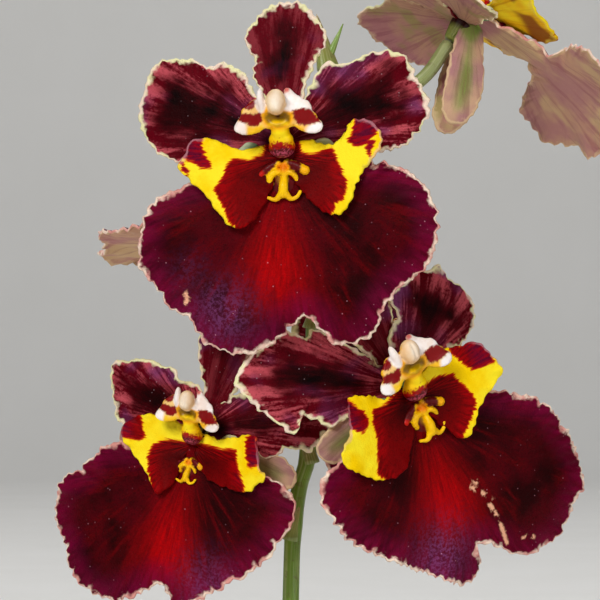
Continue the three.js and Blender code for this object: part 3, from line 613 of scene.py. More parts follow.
def leaf_green(tree):
    """Stiff leathery leaf: fine length lines, a paler keel, a dry brown tip and small scars."""
    lines = clouds(stretched(noted(tree, "place", "Vector"), (1, 1.6, 0.035)), 1.5, 4, 0.6)
    share, place = noted(tree, "glow"), in_mm(tree)
    patches = mottled(place, 0.45)
    colour = over((62, 98, 34), (92, 128, 48), patches["Broad"])
    colour = over(colour, (122, 152, 70), soft_step(lines, 0.4, 0.68))
    colour = over(colour, (168, 172, 96), soft_fall(noted(tree, "rim"), 0.1, 0.7), 0.6)
    colour = over(colour, (150, 148, 84), soft_fall(share, 0.02, 0.3))
    colour = over(colour, (122, 84, 48), soft_step(sloped(patches["Fine"], 0.03, share), 0.955, 0.985))
    colour = over(colour, (110, 88, 46), soft_step(clouds(place, 1.1, 4, 0.7), 0.68, 0.74), 0.7)
    colour = over(colour, (112, 60, 52), soft_step(noted(tree, "haze"), 0.3, 1), 0.4)
    return {**surface(colour, lines, 0.14), "Roughness": sloped(patches["Fine"], 0.14, 0.34)}


def root_silver(tree):
    """Silver skin of an air root, with green growing tips."""
    patches, share = mottled(in_mm(tree), 1.1), noted(tree, "glow")
    colour = over((176, 178, 156), (206, 206, 190), patches["Broad"])
    colour = over(colour, (138, 142, 108), patches["Fine"], 0.5)
    colour = over(colour, (122, 146, 62), soft_step(share, 0.86, 0.94))
    colour = over(colour, (168, 158, 84), soft_step(share, 0.95, 0.99))
    return surface(colour, patches["Fine"], 0.12, 0.6)


def bark_brown(tree):
    """Layered, cracked bark in the browns painted on the mesh."""
    place, tint = in_mm(tree), noted(tree, "tint", "Color")
    grain = stretched(place, (0.5, 0.9, 2.4))
    layers = clouds(grain, 0.9, 6, 0.7)
    crack = soft_fall(cells(grain, 0.55, "DISTANCE_TO_EDGE"), 0, 0.06)
    colour = over(over(tint, (120, 104, 96), 1, kind="MULTIPLY"), tint, soft_step(layers, 0.36, 0.66))
    colour = over(colour, (186, 158, 128), soft_step(clouds(place, 0.55, 5, 0.7), 0.58, 0.68), 0.5)
    colour = over(colour, (34, 20, 14), crack, 0.7)
    height = plus(times(mottled(place, 0.8)["Fine"], 0.2), layers, times(crack, -0.35))
    return surface(colour, height, 0.9, 0.8)


def fired_clay(tree):
    """Fired clay, with grain, throwing lines, pale salts that creep up the foot and a worn rim."""
    place = in_mm(tree)
    height = put(tree, "SeparateXYZ", {0: place})[2]
    patches, grain = mottled(place, 0.16), mottled(place, 1.4)["Fine"]
    wisps = clouds(place, 0.13, 6, 0.68)
    colour = over((176, 92, 56), (196, 112, 70), patches["Broad"])
    colour = over(colour, (208, 136, 96), patches["Fine"], 0.45)
    colour = over(colour, (128, 62, 40), soft_step(grain, 0.7, 1), 0.3)
    under_rim = times(soft_step(height, 36, 45.5), soft_fall(height, 45.5, 47.5), 0.1)
    salts = plus(wisps, times(soft_fall(height, 2, 30), 0.16), under_rim)
    colour = over(colour, (226, 206, 186), soft_step(salts, 0.56, 0.76), 0.62)
    moss = soft_step(clouds(place, 0.09, 4), 0.54, 0.68)
    colour = over(colour, (104, 108, 66), moss, soft_fall(height, 4, 26), 0.4)
    colour = over(colour, (120, 66, 44), soft_step(height, 54, 58), soft_step(wisps, 0.46, 0.6), 0.35)
    lines = clouds(stretched(place, (0.02, 0.02, 1)), 1.3, 3, 0.5)
    return surface(colour, sloped(grain, 0.3, lines), 0.3, 0.55)


def studio_paper(tree):
    return {"Base Color": over((226, 225, 222), (232, 231, 229), clouds(in_mm(tree), 0.01, 2))}


def new_material(name, look, roughness, specular=0.5, coat=0, coat_roughness=0.03, colours=()):
    material = bpy.data.materials.new(name)
    material.use_nodes = True
    finish = {"Roughness": roughness, "Specular IOR Level": specular, "Coat Weight": coat,
              "Coat Roughness": coat_roughness}
    inputs = {**finish, **look(material.node_tree, *colours)}
    plug(material.node_tree.nodes["Principled BSDF"], inputs)
    return material


DULL = 0.55
FAINT = 0.04
TEPAL_FRONT = new_material("tepal velvet", tepal_front, DULL, FAINT)
LIP_FRONT = new_material("lip velvet", lip_front, DULL, FAINT)
EAR_FRONT = new_material("ear yellow and maroon", ear_front, DULL, FAINT)
SEPAL = new_material("sepal green", sepal_green, DULL, FAINT)
# The undersides: three ground colours, veins and edge, and how much of the front's patches shows
TEPAL_BACK = new_material("tepal underside", petal_back, DULL, FAINT, colours=[
    (196, 152, 126), (182, 124, 126), (168, 150, 100), (140, 72, 92), (226, 200, 158)])
LIP_BACK = new_material("lip underside", petal_back, DULL, FAINT, colours=[
    (208, 162, 132), (190, 134, 130), (214, 178, 136), (158, 88, 98), (238, 210, 160)])
EAR_BACK = new_material("ear underside", petal_back, DULL, FAINT, colours=[
    (255, 214, 30), (255, 226, 50), (246, 188, 30), (206, 120, 24), (252, 222, 90), 0.8])
COLUMN_FLESH = new_material("column flesh", painted_flesh, 0.42, 0.16, 0.08, 0.25)
CALLUS_FLESH = new_material("callus flesh", painted_flesh, 0.48, 0.16, 0.04, 0.25)
STEM_GREEN = new_material("stem green", stem_green, 0.42, coat=0.15)
LEAF_GREEN = new_material("leaf green", leaf_green, 0.4, coat=0.1)
ROOT_SILVER = new_material("root silver", root_silver, 0.78)
BARK_BROWN = new_material("bark chips", bark_brown, 0.92, 0.2)
FIRED_CLAY = new_material("fired clay", fired_clay, 0.9, 0.25)
STUDIO_PAPER = new_material("studio paper", studio_paper, 0.95)


# Curves and skins
def spline(corners, closed):
    """Dense points on a smooth curve through the corners."""
    corners = np.array(corners, float)
    if closed:
        before, start = np.roll(corners, 1, axis=0), corners
        end, after = np.roll(corners, -1, axis=0), np.roll(corners, -2, axis=0)
    else:
        first, last = 2 * corners[0] - corners[1], 2 * corners[-1] - corners[-2]
        padded = np.vstack([first, corners, last])
        before, start, end, after = padded[:-3], padded[1:-2], padded[2:-1], padded[3:]
    gap_in, gap, gap_out = [np.linalg.norm(step, axis=1, keepdims=True) ** 0.5
                            for step in (start - before, end - start, after - end)]
    lean_in = gap * ((start - before) / gap_in - (end - before) / (gap_in + gap) + (end - start) / gap)
    lean_out = gap * ((end - start) / gap - (after - start) / (gap + gap_out) + (after - end) / gap_out)
    along = np.linspace(0, 1, 24, endpoint=False)[:, None, None]
    square = -3 * start + 3 * end - 2 * lean_in - lean_out
    cube = 2 * start - 2 * end + lean_in + lean_out
    points = start + lean_in * along + square * along ** 2 + cube * along ** 3
    points = points.transpose(1, 0, 2).reshape(-1, corners.shape[1])
    return points if closed else np.vstack([points, corners[-1]])


def even_points(points, count, closed):
    """The same curve with evenly spaced points."""
    whole = np.vstack([points, points[:1]]) if closed else points
    travelled = np.concatenate([[0], np.cumsum(np.linalg.norm(np.diff(whole, axis=0), axis=1))])
    stations = np.linspace(0, travelled[-1], count, endpoint=not closed)
    return np.stack([np.interp(stations, travelled, axis) for axis in whole.T], axis=1)


def curve_length(points):
    return float(np.linalg.norm(np.diff(points, axis=0), axis=1).sum())


def even_outline(corners, spacing):
    dense = spline(corners, True)
    count = int(curve_length(dense) / spacing)
    rim = even_points(dense, count, True)
    following = np.roll(rim, -1, axis=0)
    area = (rim[:, 0] * following[:, 1] - following[:, 0] * rim[:, 1]).sum()
    return rim if area > 0 else rim[::-1]


def ripple(count, spacing, waves, seed):
    """An uneven wavy line that closes on itself; waves are pairs of wavelength and weight."""
    chance = np.random.default_rng(seed)
    station = np.arange(count) / count * 2 * np.pi
    line = np.zeros(count)
    for wavelength, weight in waves:
        turns = count * spacing / wavelength
        for _ in range(4):
            cycles = max(1, round(turns * chance.uniform(0.6, 1.5)))
            line += weight * chance.uniform(0.3, 0.7) * np.sin(cycles * station + chance.uniform(0, 6.28))
    return line


def inside_depth(points, outline):
    """How far each flat point lies inside an outline, less than 0 outside."""
    corners = np.array(outline, float)
    ends = np.roll(corners, -1, axis=0)
    edges = ends - corners
    distance = line_distance(points, [*outline, outline[0]])
    level = points[:, 1:2]
    crosses = (corners[:, 1] > level) != (ends[:, 1] > level)
    rise = np.where(edges[:, 1] == 0, 1, edges[:, 1])
    meeting = corners[:, 0] + (level - corners[:, 1]) * edges[:, 0] / rise
    inside = (crosses & (points[:, 0:1] < meeting)).sum(axis=1) % 2 == 1
    return np.where(inside, distance, -distance)


def line_distance(points, line):
    """How far each flat point lies from an open line."""
    start, end = np.array(line[:-1], float), np.array(line[1:], float)
    offset = points[:, None, :] - start[None]
    share = np.clip((offset * (end - start)).sum(-1) / ((end - start) ** 2).sum(-1), 0, 1)
    return np.linalg.norm(offset - share[..., None] * (end - start), axis=-1).min(axis=1)


def ring_faces(rings, count, first=0):
    """Quads between rings of count points that follow each other from the point first."""
    here = np.arange(count)
    after = (here + 1) % count
    quad = np.stack([here, after, count + after, count + here], axis=1)
    return np.vstack([first + ring * count + quad for ring in range(rings - 1)])


def skin(rings, notes):
    """A closed skin over rings of points, with a middle point at each end."""
    rings = np.array(rings)
    row_count, count, _ = rings.shape
    points = np.vstack([rings.reshape(-1, 3), rings[0].mean(axis=0), rings[-1].mean(axis=0)])
    here = np.arange(count)
    after = (here + 1) % count
    last = (row_count - 1) * count
    low = np.full(count, row_count * count)
    faces = ring_faces(row_count, count).tolist()
    faces += np.stack([low, after, here], axis=1).tolist()
    faces += np.stack([low + 1, last + here, last + after], axis=1).tolist()
    full = {}
    for name, values in notes.items():
        values = np.array(values, float)
        flat = values.reshape((row_count * count,) + values.shape[2:])
        full[name] = np.concatenate([flat, flat[:1], flat[-1:]])
    return {"points": points, "faces": faces, "looks": [0] * len(faces), "notes": full}


def faded(first, last, ring_count, count):
    """Colours for rings of points that change from one colour to another."""
    return np.repeat(np.linspace(tone(first), tone(last), ring_count)[:, None], count, axis=1)


def circle(sides, radius=1.0):
    angles = np.arange(sides) / sides * 2 * np.pi
    return np.column_stack([np.cos(angles), np.sin(angles)]) * np.reshape(radius, (-1, 1))


def sweep(route, radius_at, sides, steps, wobble, tints=None):
    """A round tube along a smooth route, its radius given along the way from 0 to 1."""
    line = even_points(spline(route, False), steps + 1, False)
    tangents = np.gradient(line, axis=0)
    tangents /= np.linalg.norm(tangents, axis=1, keepdims=True)
    side = np.cross(tangents[0], (0.3, 0.5, 0.8))
    angles = np.arange(sides) / sides * 2 * np.pi
    length = curve_length(line)
    shares = np.linspace(0, 1, steps + 1)
    rings = []
    for middle, tangent, along in zip(line, tangents, shares):
        side = side - tangent * (side @ tangent)
        side = side / np.linalg.norm(side)
        radius = radius_at(along) * (1 + wobble * np.sin(angles * 3 + along * length * 0.7))
        rings.append(middle + circle(sides, radius) @ np.array([side, np.cross(tangent, side)]))
    places = [np.column_stack([circle(sides, 2), np.full(sides, along * length * 0.05)]) for along in shares]
    notes = {"place": places, "glow": np.repeat(shares[:, None], sides, axis=1)}
    if tints:
        notes["tint"] = faded(*tints, steps + 1, sides)
    return skin(rings, notes)


def moved(sheet, matrix):
    """A copy of a skin taken through a matrix."""
    turn = np.array(matrix.to_3x3())
    shift = np.array(matrix.translation)
    return {**sheet, "points": sheet["points"] @ turn.T + shift}


# The notes a mesh carries for its material: their kind and what stands where a skin has none
CHANNELS = {"FLOAT": "value", "FLOAT_VECTOR": "vector", "FLOAT_COLOR": "color"}
NOTE_KINDS = {
    "place": ("FLOAT_VECTOR", (0, 0, 0)), "tint": ("FLOAT_COLOR", (1, 1, 1, 1)), "rim": ("FLOAT", 9),
    "mark": ("FLOAT", -9), "haze": ("FLOAT", 0), "glow": ("FLOAT", 0), "scar": ("FLOAT", 9),
}


def finished_piece(name, sheets, materials, slot, *nodes):
    """One object in metres from skins in millimetres, standing for its CAD nodes."""
    mesh = bpy.data.meshes.new(name)
    faces, looks, start = [], [], 0
    for sheet in sheets:
        faces += [tuple(index + start for index in face) for face in sheet["faces"]]
        looks += list(sheet["looks"])
        start += len(sheet["points"])
    points = np.vstack([sheet["points"] for sheet in sheets]) * MM
    mesh.from_pydata(points.tolist(), [], faces)
    for note in sorted({note for sheet in sheets for note in sheet["notes"]}):
        kind, fallback = NOTE_KINDS[note]
        values = [np.ravel(sheet["notes"].get(note, [fallback] * len(sheet["points"]))) for sheet in sheets]
        attribute = mesh.attributes.new(note, kind, "POINT")
        attribute.data.foreach_set(CHANNELS[kind], np.concatenate(values).astype(float))
    for material in materials:
        mesh.materials.append(material)
    mesh.polygons.foreach_set("material_index", looks)
    mesh.polygons.foreach_set("use_smooth", [True] * len(faces))
    mesh.update()
    piece = bpy.data.objects.new(name, mesh)
    bpy.context.scene.collection.objects.link(piece)
    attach(piece, "root")
    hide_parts(*nodes)


def hand_model_sheet(model, look=0):
    """The skin of a piece modelled in millimetres; the model itself is removed."""
    mesh = model.data
    points = np.empty(len(mesh.vertices) * 3)
    mesh.vertices.foreach_get("co", points)
    faces = [tuple(polygon.vertices) for polygon in mesh.polygons]
    sheet = {"points": points.reshape(-1, 3), "faces": faces, "looks": [look] * len(faces), "notes": {}}
    bpy.data.objects.remove(model)
    return sheet


# Petals
def petal_sheet(corners, height, spacing, seed, looks, crimp=0.16, frill=0.16, wall=0.5, edge_wall=0.3):
    """A thin crimped petal: two faces a wall apart that meet in a rounded edge."""
    rim = even_outline(corners, spacing)
    count = len(rim)
    middle = rim.mean(axis=0)
    run = np.roll(rim, -1, axis=0) - np.roll(rim, 1, axis=0)
    outward = np.stack([run[:, 1], -run[:, 0]], axis=1) / np.linalg.norm(run, axis=1, keepdims=True)
    teeth = ripple(count, spacing, [(2.4, 0.5), (1.1, 0.6)], seed)
    waves = ripple(count, spacing, [(4.5, 0.8), (1.6, 0.6)], seed + 1)
    depth = np.linalg.norm(rim - middle, axis=1).mean()
    ring_count = max(8, int(depth / (spacing * 1.7)))
    reach = 1 - (1 - np.linspace(0, 1, ring_count + 1)[1:]) ** 1.4
    grid = middle + (rim - middle) * reach[:, None, None]
    grid += (outward * (crimp * teeth)[:, None]) * (reach ** 12)[:, None, None]
    flat = np.vstack([middle[None], grid.reshape(-1, 2)])
    reaches = np.concatenate([[0], np.repeat(reach, count)])
    lift = height(flat[:, 0], flat[:, 1], reaches)
    lift[1:] += (frill * waves[None] * (reach ** 7)[:, None]).ravel()
    edge = grid[-1]
    rim_distance = np.concatenate([
        np.linalg.norm(part[:, None] - edge[None], axis=-1).min(axis=1) for part in np.array_split(flat, 8)])
    rim_distance[-count:] = 0
    half = (edge_wall + (wall - edge_wall) * np.clip(rim_distance / 1.6, 0, 1)) / 2
    nose = np.column_stack([edge + outward * edge_wall * 0.35, lift[-count:]])
    points = np.vstack([np.column_stack([flat, lift + half]), nose, np.column_stack([flat, lift - half])])
    total = len(flat)
    here = np.arange(count)
    after = (here + 1) % count
    hub = np.zeros(count, int)
    fan = np.stack([hub, here + 1, after + 1], axis=1)
    body = ring_faces(ring_count, count, 1)[:, ::-1]
    nose_start, back = total, total + count
    outer = total - count
    seams = [np.stack([above + here, below + here, below + after, above + after], axis=1).tolist()
             for above, below in ((outer, nose_start), (nose_start, back + outer))]
    front_faces = fan.tolist() + body.tolist()
    back_faces = (fan[:, ::-1] + back).tolist() + (body[:, ::-1] + back).tolist()
    faces = front_faces + seams[0] + seams[1] + back_faces
    front, behind = looks
    face_looks = [front] * (len(front_faces) + 2 * count) + [behind] * len(back_faces)
    plan = np.vstack([flat, edge, flat])
    distances = np.concatenate([rim_distance, np.zeros(count), rim_distance])
    distances += np.clip(3.5 - np.hypot(plan[:, 0], plan[:, 1]), 0, 9)
    notes = {"place": np.column_stack([plan, np.full(len(plan), seed * 3.7)]), "rim": distances}
    return {"points": points, "faces": faces, "looks": face_looks, "notes": notes}


def reflexed(x, y, reach):
    out = np.hypot(x, y)
    wave = 0.3 * reach ** 3 * np.sin(6 * np.arctan2(y, x)) * np.clip(out / 4 - 0.5, 0, 1)
    return TEPAL_LAYER - 0.02 * out - 0.011 * out * out + wave


def dorsal_height(x, y, reach):
    return reflexed(x, y, 0) - 0.2


def sepal_height(x, y, reach):
    return reflexed(x, y, 0) - 0.35


def hanging_height(x, y, reach):
    return 0.6 - 0.01 * (x * x + y * y)


def lip_height(x, y, reach):
    out = np.hypot(x, y)
    wave = 0.35 * reach ** 3 * np.sin(9 * np.arctan2(y + 11, x))
    return LIP_LAYER + 0.16 * out - 0.0095 * out * out + wave


def ear_height(x, y, reach):
    return EAR_LAYER + 0.17 * np.hypot(x, y)


def wing_height(x, y, reach):
    return 3.2 + 0.12 * np.abs(x) + 0.1 * np.sin(y * 2.5)


def bloom_place(bloom):
    """From a bloom's own millimetres to the object's."""
    yaw, pitch, roll = map(math.radians, bloom["turns"])
    level = Vector((math.sin(yaw), -math.cos(yaw), 0))
    right = Vector((math.cos(yaw), math.sin(yaw), 0))
    face = level * math.cos(pitch) + Vector((0, 0, math.sin(pitch)))
    rise = level * -math.sin(pitch) + Vector((0, 0, math.cos(pitch)))
    across = right * math.cos(roll) + rise * math.sin(roll)
    upward = right * -math.sin(roll) + rise * math.cos(roll)
    turn = Matrix((across, upward, face)).transposed().to_4x4()
    return Matrix.Translation(bloom["centre"]) @ turn


def side_sepal(shape, side, spacing, seed, looks):
    reach = shape["sepal_reach"]
    outline = [
        (-0.4, 0.6), (-2.2, 0.4), (-0.42 * reach, 0.1), (-0.68 * reach, -0.6), (-0.9 * reach, -1.4),
        (-reach, -2.6), (-0.93 * reach, -4.2), (-0.66 * reach, -4.6), (-0.34 * reach, -3.2), (-0.4, -1.2),
    ]
    sided = [(-side * x, y) for x, y in outline]
    droop = shape.get("sepal_droop", 0)
    height = hanging_height if droop else sepal_height
    sheet = petal_sheet(sided, height, spacing, seed, looks, crimp=0.1, frill=0.1)
    turn = Matrix.Rotation(math.radians(shape.get("sepal_tilt", 0)), 4, "X")
    turn = turn @ Matrix.Rotation(math.radians(side * droop), 4, "Y")
    return moved(sheet, turn)


# Helpers for modelling
def edit_mode(wanted):
    bpy.ops.object.mode_set(mode="EDIT" if wanted else "OBJECT")


def pick(model, kind, test):
    """Selects the faces or edges of the open model that pass a test."""
    editing = bmesh.from_edit_mesh(model.data)
    for part in getattr(editing, kind):
        part.select = test(part)
    bmesh.update_edit_mesh(model.data)


def modify(model, kind, **settings):
    """Applies a modifier."""
    modifier = model.modifiers.new(kind, kind)
    for key, value in settings.items():
        setattr(modifier, key, value)
    bpy.ops.object.modifier_apply(modifier=kind)


def select_only(models):
    bpy.ops.object.select_all(action="DESELECT")
    for model in models:
        model.select_set(True)
    bpy.context.view_layer.objects.active = models[0]


def add_lobe(place, radii, turn=0.0):
    bpy.ops.mesh.primitive_uv_sphere_add(segments=20, ring_count=12, radius=1, location=place,
                                         rotation=(0, 0, math.radians(turn)))
    lobe = bpy.context.object
    lobe.scale = radii
    return lobe


def add_lobe_row(route, radii, steps):
    """A rounded ridge of lobes along a route."""
    line = even_points(spline(route, False), steps, False)
    sizes = np.interp(np.linspace(0, 1, steps), np.linspace(0, 1, len(radii)), radii)
    return [add_lobe(tuple(place), (size, size, size)) for place, size in zip(line, sizes)]


def sheet_model(sheet):
    mesh = bpy.data.meshes.new("sheet")
    mesh.from_pydata(sheet["points"].tolist(), [], sheet["faces"])
    model = bpy.data.objects.new("sheet", mesh)
    bpy.context.scene.collection.objects.link(model)
    return model


def melted(models, grain, smoothing):
    """Lobes melted into one smooth body."""
    select_only(models)
    bpy.ops.object.join()
    bpy.ops.object.transform_apply()
    body = bpy.context.object
    modify(body, "REMESH", mode="VOXEL", voxel_size=grain)
    modify(body, "SMOOTH", iterations=smoothing)
    return body


def painted(sheet, ground, patches):
    """Colours on a skin: each patch is an outline, its colour, its softness, the lowest height it reaches
    and, for a speckled edge, how far the specks stray."""
    points = sheet["points"]
    plan = points[:, :2]
    jitter = np.array([noise.noise(Vector(point) * 2.6) for point in points]) * 0.12
    specks = np.array([noise.noise(Vector(point) * 5.5) for point in points])
    tint = np.tile(tone(ground), (len(points), 1))
    for outline, colour, softness, lowest, *stray in patches:
        depth = inside_depth(plan, outline) + jitter + specks * sum(stray)
        share = np.clip(depth / softness + 0.5, 0, 1) * np.clip((points[:, 2] - lowest) / 0.3, 0, 1)
        tint = tint + (tone(colour) - tint) * share[:, None]
    sheet["notes"]["tint"] = tint
    return sheet


def ball_outline(x, y, across, along):
    turns = np.linspace(0, 2 * math.pi, 16, endpoint=False)
    return [(x + across * math.cos(turn), y + along * math.sin(turn)) for turn in turns]


# Column, callus and hub. Outlines of the wings and of the colours painted on them
LEFT_WING = [
    (-1.2, 3.6), (-1.9, 4), (-2.65, 3.9), (-3.05, 3.5), (-3.45, 3.2), (-3.65, 2.8), (-3.75, 2.3),
    (-4.05, 1.9), (-4.35, 1.55), (-4.4, 1.3), (-4.15, 0.9), (-3.65, 0.75), (-2.95, 0.7), (-2.35, 0.8),
    (-1.95, 1), (-1.5, 1.3), (-0.6, 1.4),
]
RIGHT_WING = [
    (0.5, 3), (0.65, 4.2), (0.6, 5.1), (0.85, 5.15), (1.4, 4.7), (2.1, 4.2), (2.7, 3.9), (3.2, 3.35),
    (3.3, 2.9), (3.85, 2.2), (4.15, 1.8), (4.3, 1.5), (4.05, 1), (3.6, 0.8), (3.1, 0.8), (2.5, 1),
    (2.1, 1.2), (1.6, 1.5), (0.6, 1.4),
]
WHITE = (255, 246, 242)
FLESH_YELLOW = (248, 184, 4)
DEEP_RED = (132, 0, 10)
PEACH = (252, 206, 128)
UPPER_LEFT_RED = [(-2.95, 3.8), (-2, 4.2), (-2.4, 3.4), (-2.85, 3), (-3.5, 3.15), (-3.4, 3.8)]
LOWER_LEFT_RED = [
    (-3.75, 2.7), (-2.45, 2.65), (-1.75, 2.85), (-1.65, 2.1), (-1.9, 1.6), (-2.45, 1.38), (-2.95, 1.5),
    (-3.4, 1.75), (-4.05, 2),
]
RIGHT_RED = [
    (1.45, 3), (2.25, 3.2), (3.2, 3.1), (3.5, 2.7), (4.15, 2.05), (4.25, 1.8), (3.6, 1.65), (2.95, 1.5),
    (2.15, 1.5), (1.75, 1.75), (1.5, 2.4),
]
COLUMN_PATCHES = [
    ([(-1.8, 0), (1.9, 0), (1.7, 2.2), (-1.6, 2.2)], (252, 200, 0), 0.5, 0.0),
    (ball_outline(0.05, 0.5, 0.8, 0.9), (255, 224, 20), 0.7, 2.6),
    (LEFT_WING, PEACH, 0.3, 2.6),
    (RIGHT_WING, PEACH, 0.3, 2.6),
    (ball_outline(-0.1, 2.3, 1.75, 1.3), (250, 172, 4), 0.5, 2.6),
    ([(-4.8, 2.2), (-3.6, 1.9), (-3, 1.45), (-3.1, 0.3), (-4.8, 0.3)], WHITE, 0.35, 2.6),
    ([(-3.2, 1.5), (-2.4, 1.35), (-1.7, 1.6), (-1.4, 1), (-2.6, 0.4), (-3.2, 0.5)], (252, 200, 30), 0.4, 2.6),
    ([(2.5, 1.3), (3.1, 1.5), (4.2, 1.95), (4.8, 1.5), (4, 0.4), (2.6, 0.5)], WHITE, 0.4, 2.6),
    ([(1.3, 1.6), (2.2, 1.6), (2.9, 1.6), (2.6, 0.7), (1.6, 0.9)], (250, 190, 40), 0.4, 2.6),
    ([(0.35, 2.9), (0.4, 5.6), (2, 5), (3.6, 3.6), (3.5, 2.9), (2.3, 3.15), (1.5, 2.95)], WHITE, 0.2, 2.6),
    ([(0.4, 4.75), (0.5, 5.5), (1, 5.4), (1, 4.85)], (226, 120, 110), 0.25, 2.6),
    (UPPER_LEFT_RED, DEEP_RED, 0.12, 2.6, 0.12),
    (LOWER_LEFT_RED, DEEP_RED, 0.12, 2.6, 0.12),
    (RIGHT_RED, DEEP_RED, 0.12, 2.6, 0.14),
    (ball_outline(-0.1, 2.2, 1.3, 0.8), (138, 100, 4), 0.3, 2.6),
    ([(-1.1, 1.55), (1.1, 1.55), (0.6, 2.0), (-0.5, 2.0)], (252, 206, 0), 0.4, 2.2),
    (ball_outline(-0.1, 2.5, 0.2, 0.2), (64, 14, 4), 0.14, 2.6),
    (ball_outline(-1.75, 4, 0.62, 1.25), WHITE, 0.2, 3.4),
    (ball_outline(-0.2, 3.8, 1.1, 1.34), (250, 212, 160), 0.14, 3.9),
    (ball_outline(-0.1, 3.9, 0.62, 1), (255, 242, 222), 0.7, 4.6),
    ([(-2, -0.1), (-0.9, -0.3), (0, -0.05), (0.9, -0.3), (2, -0.1), (2, -2.4), (-2, -2.4)],
     (178, 14, 4), 0.2, -1.0, 0.5),
    ([(-2, -0.75), (2, -0.75), (2, -2.6), (-2, -2.6)], (84, 2, 16), 0.25, -1.0, 0.35),
    ([(-1.2, -1.15), (1.2, -1.15), (1.1, -1.45), (-1.1, -1.45)], (178, 70, 92), 0.08, 1.4, 0.8),
]


# Place, radii and turn of the lobes that melt into the column: foot, waist, hood and cap
COLUMN_LOBES = [
    ((0.05, -0.55, 1.75), (1.35, 1.15, 1.2)), ((0.05, 0.1, 2.3), (1.25, 1, 1.1)),
    ((0, 1, 2.6), (0.92, 1.2, 1.1)), ((-0.1, 2.2, 3.1), (1.55, 1.25, 1)),
    ((-0.1, 3.1, 3.5), (1.45, 1.2, 0.9)), ((-0.2, 3.95, 4.4), (1, 1.15, 1)),
    ((-0.2, 3.35, 4.5), (0.8, 0.9, 0.85)), ((-1.75, 4, 3.9), (0.42, 1.2, 0.5), 8),
    ((-1.5, 3.1, 3.6), (0.5, 1, 0.55)), ((1.3, 2.6, 3.5), (0.5, 1.2, 0.5)),
]


def column_sheet():
    """The column between two ragged wings, with the hollow stigma under its cap."""
    models = [add_lobe(*lobe) for lobe in COLUMN_LOBES]
    for outline, seed in ((LEFT_WING, 3), (RIGHT_WING, 5)):
        walls = {"wall": 0.7, "edge_wall": 0.45}
        wing = petal_sheet(outline, wing_height, 0.2, seed, (0, 0), crimp=0.06, frill=0.1, **walls)
        models.append(sheet_model(wing))
    sheet = hand_model_sheet(melted(models, 0.12, 3))
    x, y, z = sheet["points"].T
    hollow = np.exp(-((x + 0.1) / 0.95) ** 2 - ((y - 2.25) / 0.55) ** 2)
    z -= 0.75 * hollow * np.clip(z - 3.2, 0, 1)
    z -= 0.25 * np.exp(-((x + 0.15) / 0.14) ** 2) * np.clip(z - 4.6, 0, 1)
    return painted(sheet, FLESH_YELLOW, COLUMN_PATCHES)


CREST_MAROON = (96, 0, 14)
CALLUS_PATCHES = [
    (ball_outline(0.15, -2.55, 0.6, 0.5), (244, 132, 6), 0.5, 0.0),
    ([(0.3, -1.7), (1.9, -1.9), (2.05, -3), (1.5, -3.2), (0.9, -2.8)], CREST_MAROON, 0.2, 0.0, 0.15),
    (ball_outline(2.4, -2.9, 0.5, 0.6), (252, 182, 10), 0.25, 0.0),
    ([(-0.15, -1.7), (-2.7, -2), (-2.8, -3.9), (-1.9, -3.6), (-1, -2.8)], CREST_MAROON, 0.2, 0.0, 0.15),
    (ball_outline(-2.15, -3.3, 0.4, 0.45), (196, 28, 14), 0.3, 0.0),
]


# Route, radii and number of lobes of each ridge of the callus
CALLUS_RIDGES = [
    ([(0.15, -2.4, 1.35), (0.2, -3, 1.6), (0.25, -3.5, 1.5)], [0.34, 0.36, 0.3], 5),
    ([(-0.1, -3, 1.5), (-0.85, -3.15, 1.6), (-1.25, -3.7, 1.5), (-1.15, -4.2, 1.35)],
     [0.3, 0.34, 0.38, 0.3], 7),
    ([(0.4, -3, 1.5), (1.05, -3.15, 1.6), (1.4, -3.55, 1.5), (1.5, -3.85, 1.4)], [0.3, 0.32, 0.3, 0.24], 6),
    ([(0.25, -3.75, 1.55), (0.2, -4.5, 1.8), (0.15, -5.2, 1.7)], [0.34, 0.48, 0.5], 7),
    ([(-0.15, -5.35, 1.65), (-0.6, -5.8, 1.6), (-1.4, -5.6, 1.6)], [0.36, 0.23, 0.19], 8),
    ([(0.5, -5.3, 1.65), (0.95, -5.75, 1.6), (1.6, -5.45, 1.6), (1.85, -5, 1.6)],
     [0.36, 0.23, 0.21, 0.19], 9),
    ([(0.5, -2.1, 1.2), (1.4, -2.4, 1.4), (2.35, -2.9, 1.45)], [0.42, 0.46, 0.5], 6),
    ([(-0.5, -2.2, 1.2), (-1.4, -2.7, 1.3), (-2.1, -3.3, 1.3)], [0.4, 0.42, 0.36], 6),
]


def callus_sheet():
    """The knobbed yellow crest at the head of the lip, with its two side lumps."""
    models = [lobe for ridge in CALLUS_RIDGES for lobe in add_lobe_row(*ridge)]
    models.append(add_lobe((0, -3.6, 1.08), (1.4, 1.9, 0.26)))
    sheet = painted(hand_model_sheet(melted(models, 0.1, 2), 4), (254, 200, 0), CALLUS_PATCHES)
    low = np.clip((1.42 - sheet["points"][:, 2]) / 0.12, 0, 1)[:, None]
    sheet["notes"]["tint"] += (tone(CREST_MAROON) - sheet["notes"]["tint"]) * low
    return sheet


